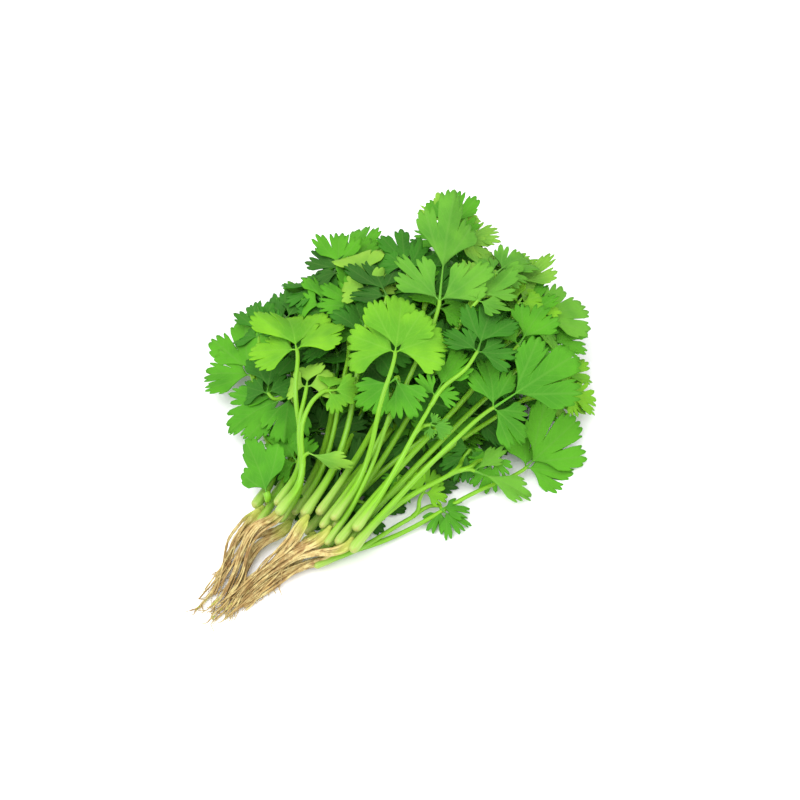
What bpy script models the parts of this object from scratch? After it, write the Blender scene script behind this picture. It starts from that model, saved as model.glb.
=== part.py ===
"""Coriander bunch: young plants pulled with their roots, lying on a surface.

Blender 4.5, metres, +Z up. +X runs from the roots to the leaf crown. The origin is under the middle of
the bunch's box, on the surface that it lies on. Layout numbers are millimetres, turned to metres by MM.
Each plant is one root, and each of its leaves is a petiole (leaf stalk) and a three-part blade.
"""
import math
from collections import namedtuple

import bmesh
import bpy
from mathutils import Matrix, Vector

MM = 0.001
TOUCH_GAP = 0.3          # clearance between pieces that touch
CAP_WELD = 1e-6          # metres; a curve's caps are welded to its wall within this distance

# Roots
CROWN_X = -119.0         # where petioles meet the roots
CROWN_LENGTH = 4.0       # the crown's straight part, before it narrows to the taproot
ROOT_STEPS = 5           # equal steps from the crown to the root tip
ROOT_RADII = (5.4, 5.4, 3.1, 2.2, 1.7, 1.2, 0.7)
ROOT_SWAY = 1.2          # a taproot bends this far to each side
ROOT_FALL = 1.6          # above 1, a root comes down to the surface early
ROOTLET_RADII = (0.8, 0.7, 0.5)
ROOTLET_LENGTH = 13.0
ROOTLET_SPREAD = 1.4     # a rootlet ends this far to the side of where it starts
ROOTLET_HEIGHT = 0.8     # of a rootlet's end over the surface
ROOTLET_MIDDLE = (0.46, 0.95, 0.4)   # its middle point, as parts of its length, spread and fall
ROOTLET_KNOTS = (4, 5)   # the points of the root's path where its two rootlets leave it

# Petioles
PETIOLE_RING = 3.2       # petioles stand in a ring of at least this radius on their crown
PETIOLE_RADII = (2.2, 2.2, 1.6, 1.2, 0.9)
PETIOLE_SPACING = 1.1    # of neighbours in the ring, in petiole diameters
SHORT_PETIOLE = 16.0     # a petiole that reaches less far than this is thinner in proportion
PETIOLE_FOOT = 5.0       # the straight stretch at a petiole's base, up to FOOT_SHARE of its reach
FOOT_SHARE = 0.15
EARLY_SHARE = 0.3        # its second bend, as a part of its reach, with a little of its rise by then
EARLY_RISE = 0.04
EARLY_FAN = 0.003        # how fast petioles fan out to the sides by their second bend, per mm
LATE_SHARE = 0.25        # its last bend, before its end, as a part of its reach
LATE_TURN = 0.35         # how much its last stretch turns towards the blade's midrib
BACK_LIMIT = 0.2         # cosine of petiole to midrib below which it rises to the node from below
BACK_RISE = 2.0
PETIOLE_STOP = 2.3       # a petiole ends this far before its blade's node

# Blades
BLADE_THICKNESS = 0.6
HUB_RADIUS = 1.5         # of the hub where leaflets meet, or more where they stand close together
HUB_CLEARANCE = 1.15     # how far apart the stalklets stand at the hub, in stalklet widths
STALKLET_WIDTH = 1.6
SIDE_STALKLET = 4.2
LEAST_END_STALKLET = 5.0
OUTER_FAN_ANGLE = 88.0   # a side leaflet's outer margin runs this far round from its midrib, degrees
INNER_FAN_ANGLE = 56.0   # and its narrower inner one this far
END_FAN_ANGLE = 76.0     # and both margins of an end leaflet
SIDE_DROP = 7.5          # side leaflets slope down by this angle, to pass under the end leaflet, degrees,
LOW_NODE = 25.0          # or up, over it, where the node lies lower than this
FAN_ROOT = 1.1           # radius of the inner arc of a leaflet's fan
LYING_HEIGHT = 30.0      # below this height blades turn to lie flat on the surface
CROWN_FOLLOW = 0.6       # how far a high blade turns from level to follow the crown's rounded top
DROOP = 0.14             # how far a leaflet's tip bends down, of its length

# A leaflet's margin, from midrib to base: reach at equal angles, as parts of its length.
# The low values are the clefts between its lobes.
END_MARGIN = (1.0, 0.90, 0.66, 0.84, 0.74, 0.52, 0.30)
SIDE_MARGIN = (1.0, 0.86, 0.70, 0.80, 0.56, 0.32)

# Surfaces: linear RGB base colours and roughness
ROOT_COLOUR = (0.56, 0.37, 0.16)
ROOT_ROUGHNESS = 0.75
PETIOLE_COLOUR = (0.30, 0.62, 0.08)
PETIOLE_ROUGHNESS = 0.42
BLADE_COLOUR = (0.11, 0.40, 0.03)
BLADE_ROUGHNESS = 0.5

# Each plant: crown place (Y, Z) and root tip (X, Y, Z).
PLANTS = (
    ((1, 8), (-174, 4, 1.6)),
    ((-9, 20), (-163, -1.5, 2.2)),
    ((-12, 8), (-176, -7, 1.6)),
    ((-22, 20), (-160, -12, 2.2)),
    ((-25, 8), (-171, -17, 1.6)),
    ((-34, 20), (-154, -23, 2.2)),
    ((-38, 8), (-165, -28, 1.6)),
    ((-46, 20), (-149, -35, 2.2)),
)

# Each leaf: its plant; where its petiole stands on the crown, in degrees from +Y towards +Z; its node,
# where its leaflets meet; the tip of its end leaflet; the side leaflets' length as a part of the end
# leaflet's; their angle from it in degrees; the end leaflet's own stalklet as a part of the distance
# from node to tip; and which side leaflets it has, 1 to the left and -1 to the right.
Leaf = namedtuple("Leaf", "plant slot node tip side_share side_angle stalklet sides")
BOTH = (1, -1)
LEAVES = (
    Leaf(0, 0, (-60, 48, 20), (-60, 76, 20), 0.8, 70, 0.10, BOTH),
    Leaf(0, 180, (-66, 20, 24), (-87, 42, 19), 0.8, 75, 0.15, BOTH),
    Leaf(0, 90, (-112, 3, 21), (-98, 18, 23), 0.4, 80, 0.15, BOTH),
    Leaf(1, 0, (-55, 22, 50), (-32, 46, 46), 0.8, 70, 0.15, BOTH),
    Leaf(1, 240, (-66, 10, 41), (-52, 28, 33), 0.45, 70, 0.15, BOTH),
    Leaf(1, 120, (-65, -2, 46), (-55, -12, 43), 0.4, 75, 0.15, BOTH),
    Leaf(2, 90, (-30, 10, 40), (-2, 44, 44), 0.8, 60, 0.20, BOTH),
    Leaf(3, 330, (-9, 10, 55), (18, 36, 58), 0.6, 65, 0.25, BOTH),
    Leaf(5, 0, (0, -24, 55), (43, -2, 75), 0.9, 45, 0.40, BOTH),
    Leaf(3, 210, (40, -8, 50), (68, 4, 57), 0.8, 70, 0.20, BOTH),
    Leaf(5, 270, (28, -31, 52), (56, -22, 56), 0.5, 65, 0.20, BOTH),
    Leaf(7, 18, (17, -57, 39), (52, -53, 42), 0.5, 65, 0.20, BOTH),
    Leaf(5, 90, (-41, -24, 62), (-14, -10, 69), 0.9, 75, 0.15, BOTH),
    Leaf(5, 180, (-47, -28, 52), (-66, -17, 44), 1.0, 80, 0.12, (1,)),
    Leaf(7, 90, (-43, -47, 47), (-19, -45, 60), 0.55, 65, 0.20, BOTH),
    Leaf(7, 162, (-32, -72, 42), (14, -94, 44), 0.65, 60, 0.22, BOTH),
    Leaf(7, 306, (25, -72, 28), (46, -85, 27), 0.8, 65, 0.15, BOTH),
    Leaf(6, 10, (8, -82, 16), (24, -100, 11), 0.8, 65, 0.15, BOTH),
    Leaf(6, 250, (-37, -89, 6.5), (-4, -110, 5.5), 0.6, 65, 0.20, (1,)),
    Leaf(7, 234, (-56, -78, 17), (-46, -103, 5), 0.4, 65, 0.15, BOTH),
    Leaf(6, 130, (-70, -67, 12), (-78, -82, 4), 0.7, 50, 0.15, BOTH),
    Leaf(0, 270, (-20, 56, 20), (-14, 84, 6), 0.8, 65, 0.20, BOTH),
    Leaf(2, 330, (26, 46, 21), (52, 62, 5), 0.8, 65, 0.20, BOTH),
    Leaf(2, 210, (56, 16, 19), (86, 22, 4), 0.8, 65, 0.20, BOTH),
    Leaf(4, 0, (54, -36, 19), (84, -44, 4), 0.8, 65, 0.20, BOTH),
    Leaf(4, 180, (5, -53, 34), (29, -44, 39), 0.6, 65, 0.20, BOTH),
)

# Crown of leaves: its rounded top, which blades follow
CROWN_CENTRE = Vector((2, -4, -20))
CROWN_HALF_SIZE = Vector((92, 96, 94))


def plain_material(name, colour, roughness):
    """A Principled BSDF material of one colour."""
    material = bpy.data.materials.new(name)
    material.use_nodes = True
    shader = material.node_tree.nodes["Principled BSDF"]
    shader.inputs["Base Color"].default_value = (*colour, 1.0)
    shader.inputs["Roughness"].default_value = roughness
    shader.inputs["Metallic"].default_value = 0.0
    return material


def tube(name, points, radii, collection, sides_level, smooth_steps):
    """A tapering tube of round section along a smooth curve through the points, with closed ends."""
    data = bpy.data.curves.new(name, "CURVE")
    data.dimensions = "3D"
    data.bevel_depth = MM
    data.bevel_resolution = sides_level
    data.use_fill_caps = True
    data.resolution_u = smooth_steps
    spline = data.splines.new("BEZIER")
    spline.bezier_points.add(len(points) - 1)
    for knot, point, radius in zip(spline.bezier_points, points, radii):
        knot.co = Vector(point) * MM
        knot.radius = radius
        knot.handle_left_type = "AUTO"
        knot.handle_right_type = "AUTO"
    thing = bpy.data.objects.new(name, data)
    collection.objects.link(thing)
    return thing


def as_mesh(thing, collection):
    """A mesh object of the curve's evaluated shape with its caps welded; the curve is removed."""
    bpy.context.view_layer.update()
    name = thing.name
    evaluated = thing.evaluated_get(bpy.context.evaluated_depsgraph_get())
    mesh = bpy.data.meshes.new_from_object(evaluated)
    bm = bmesh.new()
    bm.from_mesh(mesh)
    bmesh.ops.remove_doubles(bm, verts=bm.verts, dist=CAP_WELD)
    bm.to_mesh(mesh)
    bm.free()
    solid = bpy.data.objects.new(name + "_solid", mesh)
    solid.matrix_world = thing.matrix_world.copy()
    bpy.data.objects.remove(thing)
    solid.name = name
    collection.objects.link(solid)
    return solid


def join_solids(base, others):
    """Boolean unions on the base; the solids that it takes in are hidden."""
    for other in others:
        union = base.modifiers.new("join_" + other.name, "BOOLEAN")
        union.operation = "UNION"
        union.solver = "EXACT"
        union.object = other
        other.hide_render = True
        other.display_type = "WIRE"


def root_path(crown, tip):
    """Points from a crown to its root tip: straight at first, then down to the surface in a gentle S."""
    top = Vector((CROWN_X, crown[0], crown[1]))
    start = top - Vector((CROWN_LENGTH, 0, 0))
    end = Vector(tip)
    points = [top]
    for step in range(ROOT_STEPS + 1):
        part = step / ROOT_STEPS
        point = start.lerp(end, part)
        point.z = end.z + (start.z - end.z) * (1 - part) ** ROOT_FALL
        point.y += ROOT_SWAY * math.sin(2 * math.pi * part)
        points.append(point)
    return points


def make_rootlet(name, base, side, collection):
    """One rootlet that leaves a taproot at the base point and comes down to the surface beside it."""
    run = Vector((-ROOTLET_LENGTH, ROOTLET_SPREAD * side, ROOTLET_HEIGHT - base.z))
    middle = base + run * Vector(ROOTLET_MIDDLE)
    end = base + run
    strand = tube(name, (base, middle, end), ROOTLET_RADII, collection, sides_level=0, smooth_steps=2)
    return as_mesh(strand, collection)


def make_root(name, crown, tip, material, collection, cutters):
    """One taproot with its rounded crown and two rootlets, joined in one solid."""
    path = root_path(crown, tip)
    taproot = tube(name, path, ROOT_RADII, collection, sides_level=1, smooth_steps=3)
    root = as_mesh(taproot, collection)
    join_solids(root, [make_rootlet(f"{name}_rootlet_{knot}", path[knot], side, cutters)
                       for knot, side in zip(ROOTLET_KNOTS, (1, -1))])
    root.data.materials.clear()
    root.data.materials.append(material)
    return root


def petiole_base(leaf):
    """The base point of a leaf's petiole, in the ring of petioles on its plant's crown."""
    count = sum(other.plant == leaf.plant for other in LEAVES)
    ring = max(PETIOLE_RING, PETIOLE_SPACING * PETIOLE_RADII[0] / math.sin(math.pi / count))
    crown_y, crown_z = PLANTS[leaf.plant][0]
    angle = math.radians(leaf.slot)
    return Vector((CROWN_X + TOUCH_GAP, crown_y + ring * math.cos(angle), crown_z + ring * math.sin(angle)))


def blade_frame(node, tip):
    """The blade's own axes: along to the tip, across, and up out of its upper face."""
    along = (tip - node).normalized()
    place = (node + tip) / 2 - CROWN_CENTRE
    outward = Vector([place[i] / CROWN_HALF_SIZE[i] ** 2 for i in range(3)]).normalized()
    follow = CROWN_FOLLOW * min(max(place.z + CROWN_CENTRE.z, 0.0) / LYING_HEIGHT, 1.0)
    up = outward * follow + Vector((0, 0, 1 - follow))
    up = (up - along * up.dot(along)).normalized()
    across = up.cross(along)
    return along, across, up


def make_petiole(name, leaf, material, collection):
    """One petiole from its crown to just before the node of its blade, from below if it bends back."""
    base, node = petiole_base(leaf), Vector(leaf.node)
    along, _, up = blade_frame(node, Vector(leaf.tip))
    path = (node - base).normalized()
    back = max(0.0, BACK_LIMIT - along.dot(path))
    arrive = (along + up * BACK_RISE * back).normalized()
    end = node - arrive * PETIOLE_STOP
    reach = (end - base).length
    foot = base + Vector((min(PETIOLE_FOOT, FOOT_SHARE * reach), 0, 0))
    fan = Vector((1, EARLY_FAN * (end.y - base.y), 0))
    early = base + fan * EARLY_SHARE * reach + (end - base) * EARLY_RISE
    late = end - (path + arrive * LATE_TURN).normalized() * LATE_SHARE * reach
    radii = [radius * min(1.0, reach / SHORT_PETIOLE) for radius in PETIOLE_RADII]
    stalk = tube(name, (base, foot, early, late, end), radii, collection, sides_level=1, smooth_steps=3)
    stalk.data.materials.append(material)
    return stalk


def leaflet(bm, hub, axes, hub_radius, start, length, margin, fan_angles):
    """One leaflet's sheet, a fan of lobes on a narrow stalklet, and its two corners on the hub.

    The fan angles are those of its margins to the right and to the left.
    """
    along, across, up = axes
    segments = 2 * (len(margin) - 1)
    grid = bmesh.ops.create_grid(bm, x_segments=segments, y_segments=1, size=1.0)["verts"]
    inner = []
    for vert in grid:
        turn = vert.co.x
        outer = vert.co.y > 0
        step = round((turn + 1) / 2 * segments)
        angle = math.radians(fan_angles[turn > 0]) * turn
        radius = margin[abs(step - segments // 2)] * length if outer else FAN_ROOT
        bend = -DROOP * radius ** 2 / length
        place = hub + along * (start + radius * math.cos(angle)) + across * radius * math.sin(angle)
        vert.co = (place + up * bend) * MM
        if not outer:
            inner.append((step, vert))
    half = across * STALKLET_WIDTH / 2
    near = [bm.verts.new((hub + along * hub_radius + half * side) * MM) for side in (-1, 1)]
    far = [bm.verts.new((hub + along * start + half * side) * MM) for side in (-1, 1)]
    arc = [vert for _, vert in sorted(inner, key=lambda item: item[0])]
    bm.faces.new((near[0], near[1], far[1], far[0]))
    bm.faces.new((far[0], far[1], *reversed(arc)))
    return near


def make_blade(name, leaf, material, collection):
    """One compound blade: an end leaflet and side leaflets on stalklets that meet at a hub."""
    node, tip = Vector(leaf.node), Vector(leaf.tip)
    along, across, up = blade_frame(node, tip)
    reach = (tip - node).length
    end_start = max(reach * leaf.stalklet, LEAST_END_STALKLET)
    closest = HUB_CLEARANCE * STALKLET_WIDTH / 2 / math.tan(math.radians(leaf.side_angle / 2))
    drop = SIDE_DROP if node.z > LOW_NODE else -SIDE_DROP
    bm = bmesh.new()
    corners = []
    for side in sorted((*leaf.sides, 0)):
        turn = Matrix.Rotation(math.radians(leaf.side_angle * side), 3, up)
        turn = turn @ Matrix.Rotation(math.radians(drop * abs(side)), 3, across)
        start = SIDE_STALKLET if side else end_start
        length = (reach - end_start) * (leaf.side_share if side else 1)
        margin = SIDE_MARGIN if side else END_MARGIN
        fan_angles = {-1: (OUTER_FAN_ANGLE, INNER_FAN_ANGLE), 0: (END_FAN_ANGLE, END_FAN_ANGLE),
                      1: (INNER_FAN_ANGLE, OUTER_FAN_ANGLE)}[side]
        corners += leaflet(bm, node, (turn @ along, turn @ across, turn @ up), max(HUB_RADIUS, closest),
                           start, length, margin, fan_angles)
    bm.faces.new(corners)
    bmesh.ops.recalc_face_normals(bm, faces=bm.faces)
    mesh = bpy.data.meshes.new(name)
    bm.to_mesh(mesh)
    bm.free()
    blade = bpy.data.objects.new(name, mesh)
    blade.data.materials.append(material)
    collection.objects.link(blade)
    wall = blade.modifiers.new("thickness", "SOLIDIFY")
    wall.thickness = BLADE_THICKNESS * MM
    wall.offset = 0.0
    return blade


def shift_to_origin(things):
    """The shift that brings the bottom centre of the things' box to the origin."""
    bpy.context.view_layer.update()
    graph = bpy.context.evaluated_depsgraph_get()
    low = Vector((math.inf, math.inf, math.inf))
    high = -low
    for thing in things:
        mesh = thing.evaluated_get(graph).to_mesh()
        for vert in mesh.vertices:
            place = thing.matrix_world @ vert.co
            for axis in range(3):
                low[axis] = min(low[axis], place[axis])
                high[axis] = max(high[axis], place[axis])
        thing.evaluated_get(graph).to_mesh_clear()
    return Vector((-(low.x + high.x) / 2, -(low.y + high.y) / 2, -low.z))


def main():
    """Clear the scene, build every plant's root, petioles and blades, and centre the bunch."""
    for thing in list(bpy.data.objects):
        bpy.data.objects.remove(thing)
    bunch = bpy.data.collections.new("coriander_bunch")
    cutters = bpy.data.collections.new("joined_rootlets")
    bpy.context.scene.collection.children.link(bunch)
    bpy.context.scene.collection.children.link(cutters)

    root_material = plain_material("root_tan", ROOT_COLOUR, ROOT_ROUGHNESS)
    petiole_material = plain_material("petiole_green", PETIOLE_COLOUR, PETIOLE_ROUGHNESS)
    blade_material = plain_material("leaf_green", BLADE_COLOUR, BLADE_ROUGHNESS)

    pieces = []
    for number, (crown, tip) in enumerate(PLANTS):
        pieces.append(make_root(f"root_{number + 1}", crown, tip, root_material, bunch, cutters))
    for number, leaf in enumerate(LEAVES):
        label = f"{number + 1:02d}"
        pieces.append(make_petiole("petiole_" + label, leaf, petiole_material, bunch))
        pieces.append(make_blade("leaf_" + label, leaf, blade_material, bunch))
    shift = shift_to_origin(pieces)
    for thing in pieces + list(cutters.objects):
        thing.location += shift


main()
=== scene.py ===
"""Coriander bunch: fine leaves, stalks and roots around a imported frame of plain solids.

Blender 4.5. Layout numbers are millimetres in the bunch's own layout, and to_row turns them into metres in
the frame that the plain solids use. Every piece is a surface worked out with numpy: leaflets are fans of
toothed lobes, stalks and roots are round profiles carried along a smooth path.
"""
import math
from collections import namedtuple

import bpy
import numpy as np
from bpy.props import FloatProperty, FloatVectorProperty, IntProperty, PointerProperty
from bpy.types import Operator, Panel, PropertyGroup
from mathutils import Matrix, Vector


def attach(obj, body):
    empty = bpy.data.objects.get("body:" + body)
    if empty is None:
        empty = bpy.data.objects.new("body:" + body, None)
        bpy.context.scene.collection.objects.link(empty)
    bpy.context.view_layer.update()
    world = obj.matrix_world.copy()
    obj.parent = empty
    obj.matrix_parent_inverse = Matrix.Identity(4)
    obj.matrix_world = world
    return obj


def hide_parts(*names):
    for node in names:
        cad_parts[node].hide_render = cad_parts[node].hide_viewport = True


bl_info = {
    "name": "Coriander Bunch",
    "version": (1, 0, 0),
    "blender": (4, 5, 0),
    "location": "3D View > Sidebar > Herbs",
    "description": "Builds a bunch of young coriander plants with leaves, stalks and roots",
    "category": "Add Mesh",
}

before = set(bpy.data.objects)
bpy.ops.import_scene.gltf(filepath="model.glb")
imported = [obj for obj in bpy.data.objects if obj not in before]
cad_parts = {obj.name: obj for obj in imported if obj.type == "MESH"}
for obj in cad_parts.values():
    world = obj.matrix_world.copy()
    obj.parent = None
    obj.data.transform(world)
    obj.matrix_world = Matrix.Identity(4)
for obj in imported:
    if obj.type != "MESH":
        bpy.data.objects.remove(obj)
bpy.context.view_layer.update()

MM = 0.001
LAYOUT_ORIGIN = np.array((46.96, 17.51, -0.28))   # the layout's zero in the row frame, mm

# ---------------------------------------------------------------------------------------------------------
# Layout of the bunch
# ---------------------------------------------------------------------------------------------------------

CROWN_X = -119.0           # where stalks meet the roots
CROWNS_Y = -22.0           # the middle of the row of crowns
HEAP_MIDDLE = np.array((2.0, -4.0, -20.0))        # of the rounded heap of leaves, an ellipsoid
HEAP_REACH = np.array((92.0, 96.0, 94.0))         # and its half-lengths
HEAP_FOLLOW = 0.65         # how far a high blade turns from level to follow the heap's rounded top
LEANING_SIDE = np.array((-0.86, -0.51))           # blades on this side of the heap lean most
LEANS = (0.1, 1.0)         # the least and the most of that lean,
EVEN_LEAN = 0.45           # and what it is on neither side
LYING_HEIGHT = 30.0        # from this height down blades turn level, and lie flat on the floor

# Each plant: crown place (Y, Z) and root tip (X, Y, Z).
PLANTS = (
    ((4, 8), (-176, 1, 1.6)),
    ((-9, 20), (-171, -4, 2.2)),
    ((-12, 8), (-175, -8, 1.6)),
    ((-22, 20), (-168, -11, 2.2)),
    ((-25, 8), (-172, -13, 1.6)),
    ((-34, 20), (-166, -11, 2.2)),
    ((-38, 8), (-170, -13, 1.6)),
    ((-46, 20), (-159, -10, 2.2)),
)

# How a leaflet is shaped. It is a fan of three lobes with rounded teeth. The numbers are: depth of the
# clefts between the lobes; how narrow the clefts are, from 1.3 for an open V to 4 for a slit; their angle
# from the midrib in degrees; the side lobes' length; how far a lobe falls off from its middle to its sides;
# depth of the teeth, as a part of their width; how far round from the midrib the blade runs, in degrees; how
# the blade narrows to its base, from about 2 for hollow sides to 6 for straight ones; how far the tip droops
# and the sides dip; and how much the blade waves. Lengths are parts of the leaflet's own.
Form = namedtuple("Form", "cleft slit split side fall tooth base wedge droop dome wave")
FORMS = {
    "fan": Form(0.26, 2.4, 17, 0.90, 0.10, 0.95, 52, 3.2, 0.13, 0.16, 0.09),
    "fingered": Form(0.50, 1.9, 17, 0.90, 0.16, 1.05, 58, 2.6, 0.14, 0.10, 0.06),
    "cut": Form(0.38, 2.3, 17, 0.88, 0.13, 1.05, 54, 3.0, 0.14, 0.14, 0.10),
    "broad": Form(0.29, 2.5, 21, 0.92, 0.08, 0.70, 62, 3.6, 0.14, 0.20, 0.09),
    "tall": Form(0.28, 2.2, 12, 0.86, 0.08, 1.00, 40, 3.2, 0.0, 0.10, 0.05),
    "round": Form(0.09, 1.8, 21, 0.88, 0.14, 0.42, 57, 2.8, 0.14, 0.12, 0.03),
    "arched": Form(0.18, 2.4, 17, 0.88, 0.12, 0.62, 52, 3.0, 0.40, 0.22, 0.06),
    "narrow": Form(0.10, 2.2, 9, 0.84, 0.08, 0.80, 25, 1.8, 0.16, 0.55, 0.05),
}

# Each leaf: its plant; where its stalk stands on the crown, in degrees from +Y towards +Z; its node, where
# its leaflets meet; the tip of its end leaflet; the side leaflets' length as a part of the end leaflet's;
# their angle from it in degrees; the end leaflet's own stalklet as a part of the distance from node to
# tip; its side leaflets, 1 to the left and -1 to the right; its form; and its green.
Leaf = namedtuple("Leaf", "plant slot node tip side_share side_angle stalklet sides form green")
BOTH = (1, -1)
LEAVES = (
    Leaf(0, 0, (-60, 47, 20), (-34, 78, 28), 0.74, 58, 0.06, (1,), "cut", "mid"),
    Leaf(0, 180, (-64, 22, 24), (-90, 42, 15), 0.85, 60, 0.12, BOTH, "fan", "mid"),
    Leaf(0, 90, (-114, 2, 19), (-94, 20, 23), 0.4, 80, 0.02, (), "round", "mid"),
    Leaf(1, 0, (-55, 22, 50), (-30, 46, 46), 0.75, 66, 0.06, BOTH, "broad", "bright"),
    Leaf(1, 240, (-67, 9, 43), (-50, 17, 46), 1.0, 75, 0.12, BOTH, "arched", "lime"),
    Leaf(1, 120, (-65, -2, 45), (-52, -14, 43), 0.8, 70, 0.15, BOTH, "arched", "bright"),
    Leaf(2, 90, (-30, 10, 40), (-2, 44, 44), 0.8, 60, 0.20, BOTH, "fingered", "deep"),
    Leaf(3, 330, (-9, 10, 55), (18, 36, 58), 0.6, 65, 0.25, BOTH, "arched", "lime"),
    Leaf(5, 0, (0, -24, 58), (50, 0, 76), 0.70, 48, 0.30, BOTH, "tall", "pale"),
    Leaf(3, 210, (42, -6, 52), (75, 8, 58), 0.7, 70, 0.20, BOTH, "cut", "mid"),
    Leaf(5, 270, (28, -31, 52), (56, -22, 56), 0.5, 65, 0.20, BOTH, "cut", "lime"),
    Leaf(7, 18, (17, -57, 39), (52, -53, 42), 0.5, 65, 0.20, BOTH, "fingered", "mid"),
    Leaf(5, 90, (-41, -24, 62), (-13, -10, 69), 0.9, 62, 0.04, BOTH, "broad", "bright"),
    Leaf(5, 180, (-47, -28, 52), (-66, -17, 44), 1.0, 80, 0.12, (1,), "fan", "mid"),
    Leaf(7, 90, (-43, -47, 47), (-19, -45, 60), 0.55, 65, 0.20, BOTH, "cut", "mid"),
    Leaf(7, 162, (-32, -72, 42), (14, -94, 44), 0.65, 60, 0.22, BOTH, "cut", "mid"),
    Leaf(7, 306, (25, -72, 28), (50, -82, 23), 0.8, 65, 0.15, BOTH, "fingered", "mid"),
    Leaf(6, 10, (8, -82, 16), (23, -100, 11), 0.8, 65, 0.15, BOTH, "fingered", "lime"),
    Leaf(6, 250, (-31, -91, 6.5), (8, -102, 9), 0.65, 45, 0.08, BOTH, "fingered", "mid"),
    Leaf(7, 234, (-52, -74, 17), (-40, -104, 7), 0.7, 50, 0.12, (1,), "narrow", "pale"),
    Leaf(6, 130, (-72, -68, 6), (-79, -84, 5), 0.85, 60, 0.15, BOTH, "fingered", "mid"),
    Leaf(0, 270, (-20, 56, 20), (-14, 84, 6), 0.8, 65, 0.20, BOTH, "cut", "mid"),
    Leaf(2, 330, (26, 46, 21), (46, 62, 5), 0.55, 65, 0.20, BOTH, "fan", "mid"),
    Leaf(2, 210, (56, 16, 19), (86, 22, 4), 0.8, 65, 0.20, BOTH, "cut", "deep"),
    Leaf(4, 0, (54, -36, 19), (84, -44, 4), 0.8, 65, 0.20, BOTH, "fan", "mid"),
    Leaf(4, 180, (5, -53, 34), (29, -44, 39), 0.6, 65, 0.20, BOTH, "cut", "deep"),
)

# Young leaves, whose stalks branch from the nearest bigger ones.
Young = namedtuple("Young", "node tip side_share side_angle stalklet sides form green")
YOUNG_LEAVES = (
    Young((12, 2, 56), (38, 20, 56), 0.8, 65, 0.15, BOTH, "cut", "deep"),
    Young((8, -14, 50), (34, 8, 58), 0.8, 65, 0.15, BOTH, "cut", "deep"),
    Young((9, -40, 59), (35, -46, 62), 0.7, 65, 0.15, BOTH, "cut", "pale"),
    Young((14, -60, 34), (44, -62, 38), 0.7, 65, 0.15, BOTH, "cut", "mid"),
    Young((-67, -42, 8), (-78, -54, 5), 0.7, 65, 0.15, BOTH, "cut", "mid"),
    Young((-88, -35, 6), (-96, -44, 3), 0.6, 65, 0.15, BOTH, "cut", "mid"),
    Young((-53, -50, 38), (-51, -62, 38), 0.6, 65, 0.15, BOTH, "fan", "pale"),
    Young((51, 2, 52), (76, 7, 50), 0.8, 60, 0.10, BOTH, "cut", "lime"),
    Young((34, -36, 52), (62, -38, 50), 0.7, 65, 0.15, BOTH, "cut", "pale"),
    Young((29, -52, 45), (67, -51, 40), 0.7, 60, 0.15, BOTH, "fingered", "bright"),
    Young((27, -61, 38), (61, -74, 28), 0.7, 60, 0.15, BOTH, "cut", "pale"),
    Young((14, -83, 22), (40, -88, 13), 0.45, 60, 0.15, BOTH, "cut", "bright"),
    Young((-18, -55, 58), (15, -47, 60), 0.7, 65, 0.15, BOTH, "cut", "deep"),
    Young((-12, -2, 60), (11, 22, 58), 0.7, 60, 0.15, (1,), "fingered", "dark"),
    Young((-62, 42, 22), (-28, 66, 30), 0.5, 50, 0.10, (), "tall", "deep"),
    Young((-69, 31, 26), (-42, 46, 30), 0.55, 65, 0.10, BOTH, "fan", "deep"),
    Young((-91, 0, 18), (-84, 22, 20), 0.7, 65, 0.10, BOTH, "fan", "mid"),
    Young((-41, -66, 16), (-60, -65, 8), 0.7, 65, 0.15, BOTH, "cut", "deep"),
    Young((-39, -77, 14), (-57, -80, 6), 0.7, 65, 0.15, BOTH, "cut", "mid"),
    Young((3, -66, 48), (34, -64, 46), 0.8, 65, 0.15, BOTH, "fan", "mid"),
    Young((-72, -58, 12), (-55, -59, 16), 0.8, 65, 0.15, BOTH, "cut", "bright"),
    Young((38, -44, 44), (66, -52, 36), 0.8, 60, 0.15, BOTH, "cut", "lime"),
    Young((50, -32, 39), (70, -46, 32), 0.8, 60, 0.15, BOTH, "fingered", "bright"),
    Young((44, -12, 52), (66, -20, 50), 0.8, 60, 0.15, BOTH, "cut", "lime"),
    Young((-42, 54, 26), (-22, 70, 28), 0.7, 60, 0.15, BOTH, "cut", "deep"),
    Young((-93, -8, 33), (-90, -30, 35), 0.6, 60, 0.05, (), "narrow", "lime"),
    Young((-10, 38, 40), (1, 63, 33), 0.7, 65, 0.10, BOTH, "cut", "deep"),
    Young((0, 33, 46), (13, 56, 40), 0.6, 65, 0.10, BOTH, "fan", "dark"),
    Young((-30, 45, 34), (-17, 69, 30), 0.7, 60, 0.10, BOTH, "fan", "deep"),
    Young((39, -70, 26), (55, -77, 20), 0.6, 60, 0.10, BOTH, "cut", "bright"),
    Young((9, -91, 17), (25, -103, 12), 0.6, 60, 0.10, BOTH, "cut", "bright"),
)

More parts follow.
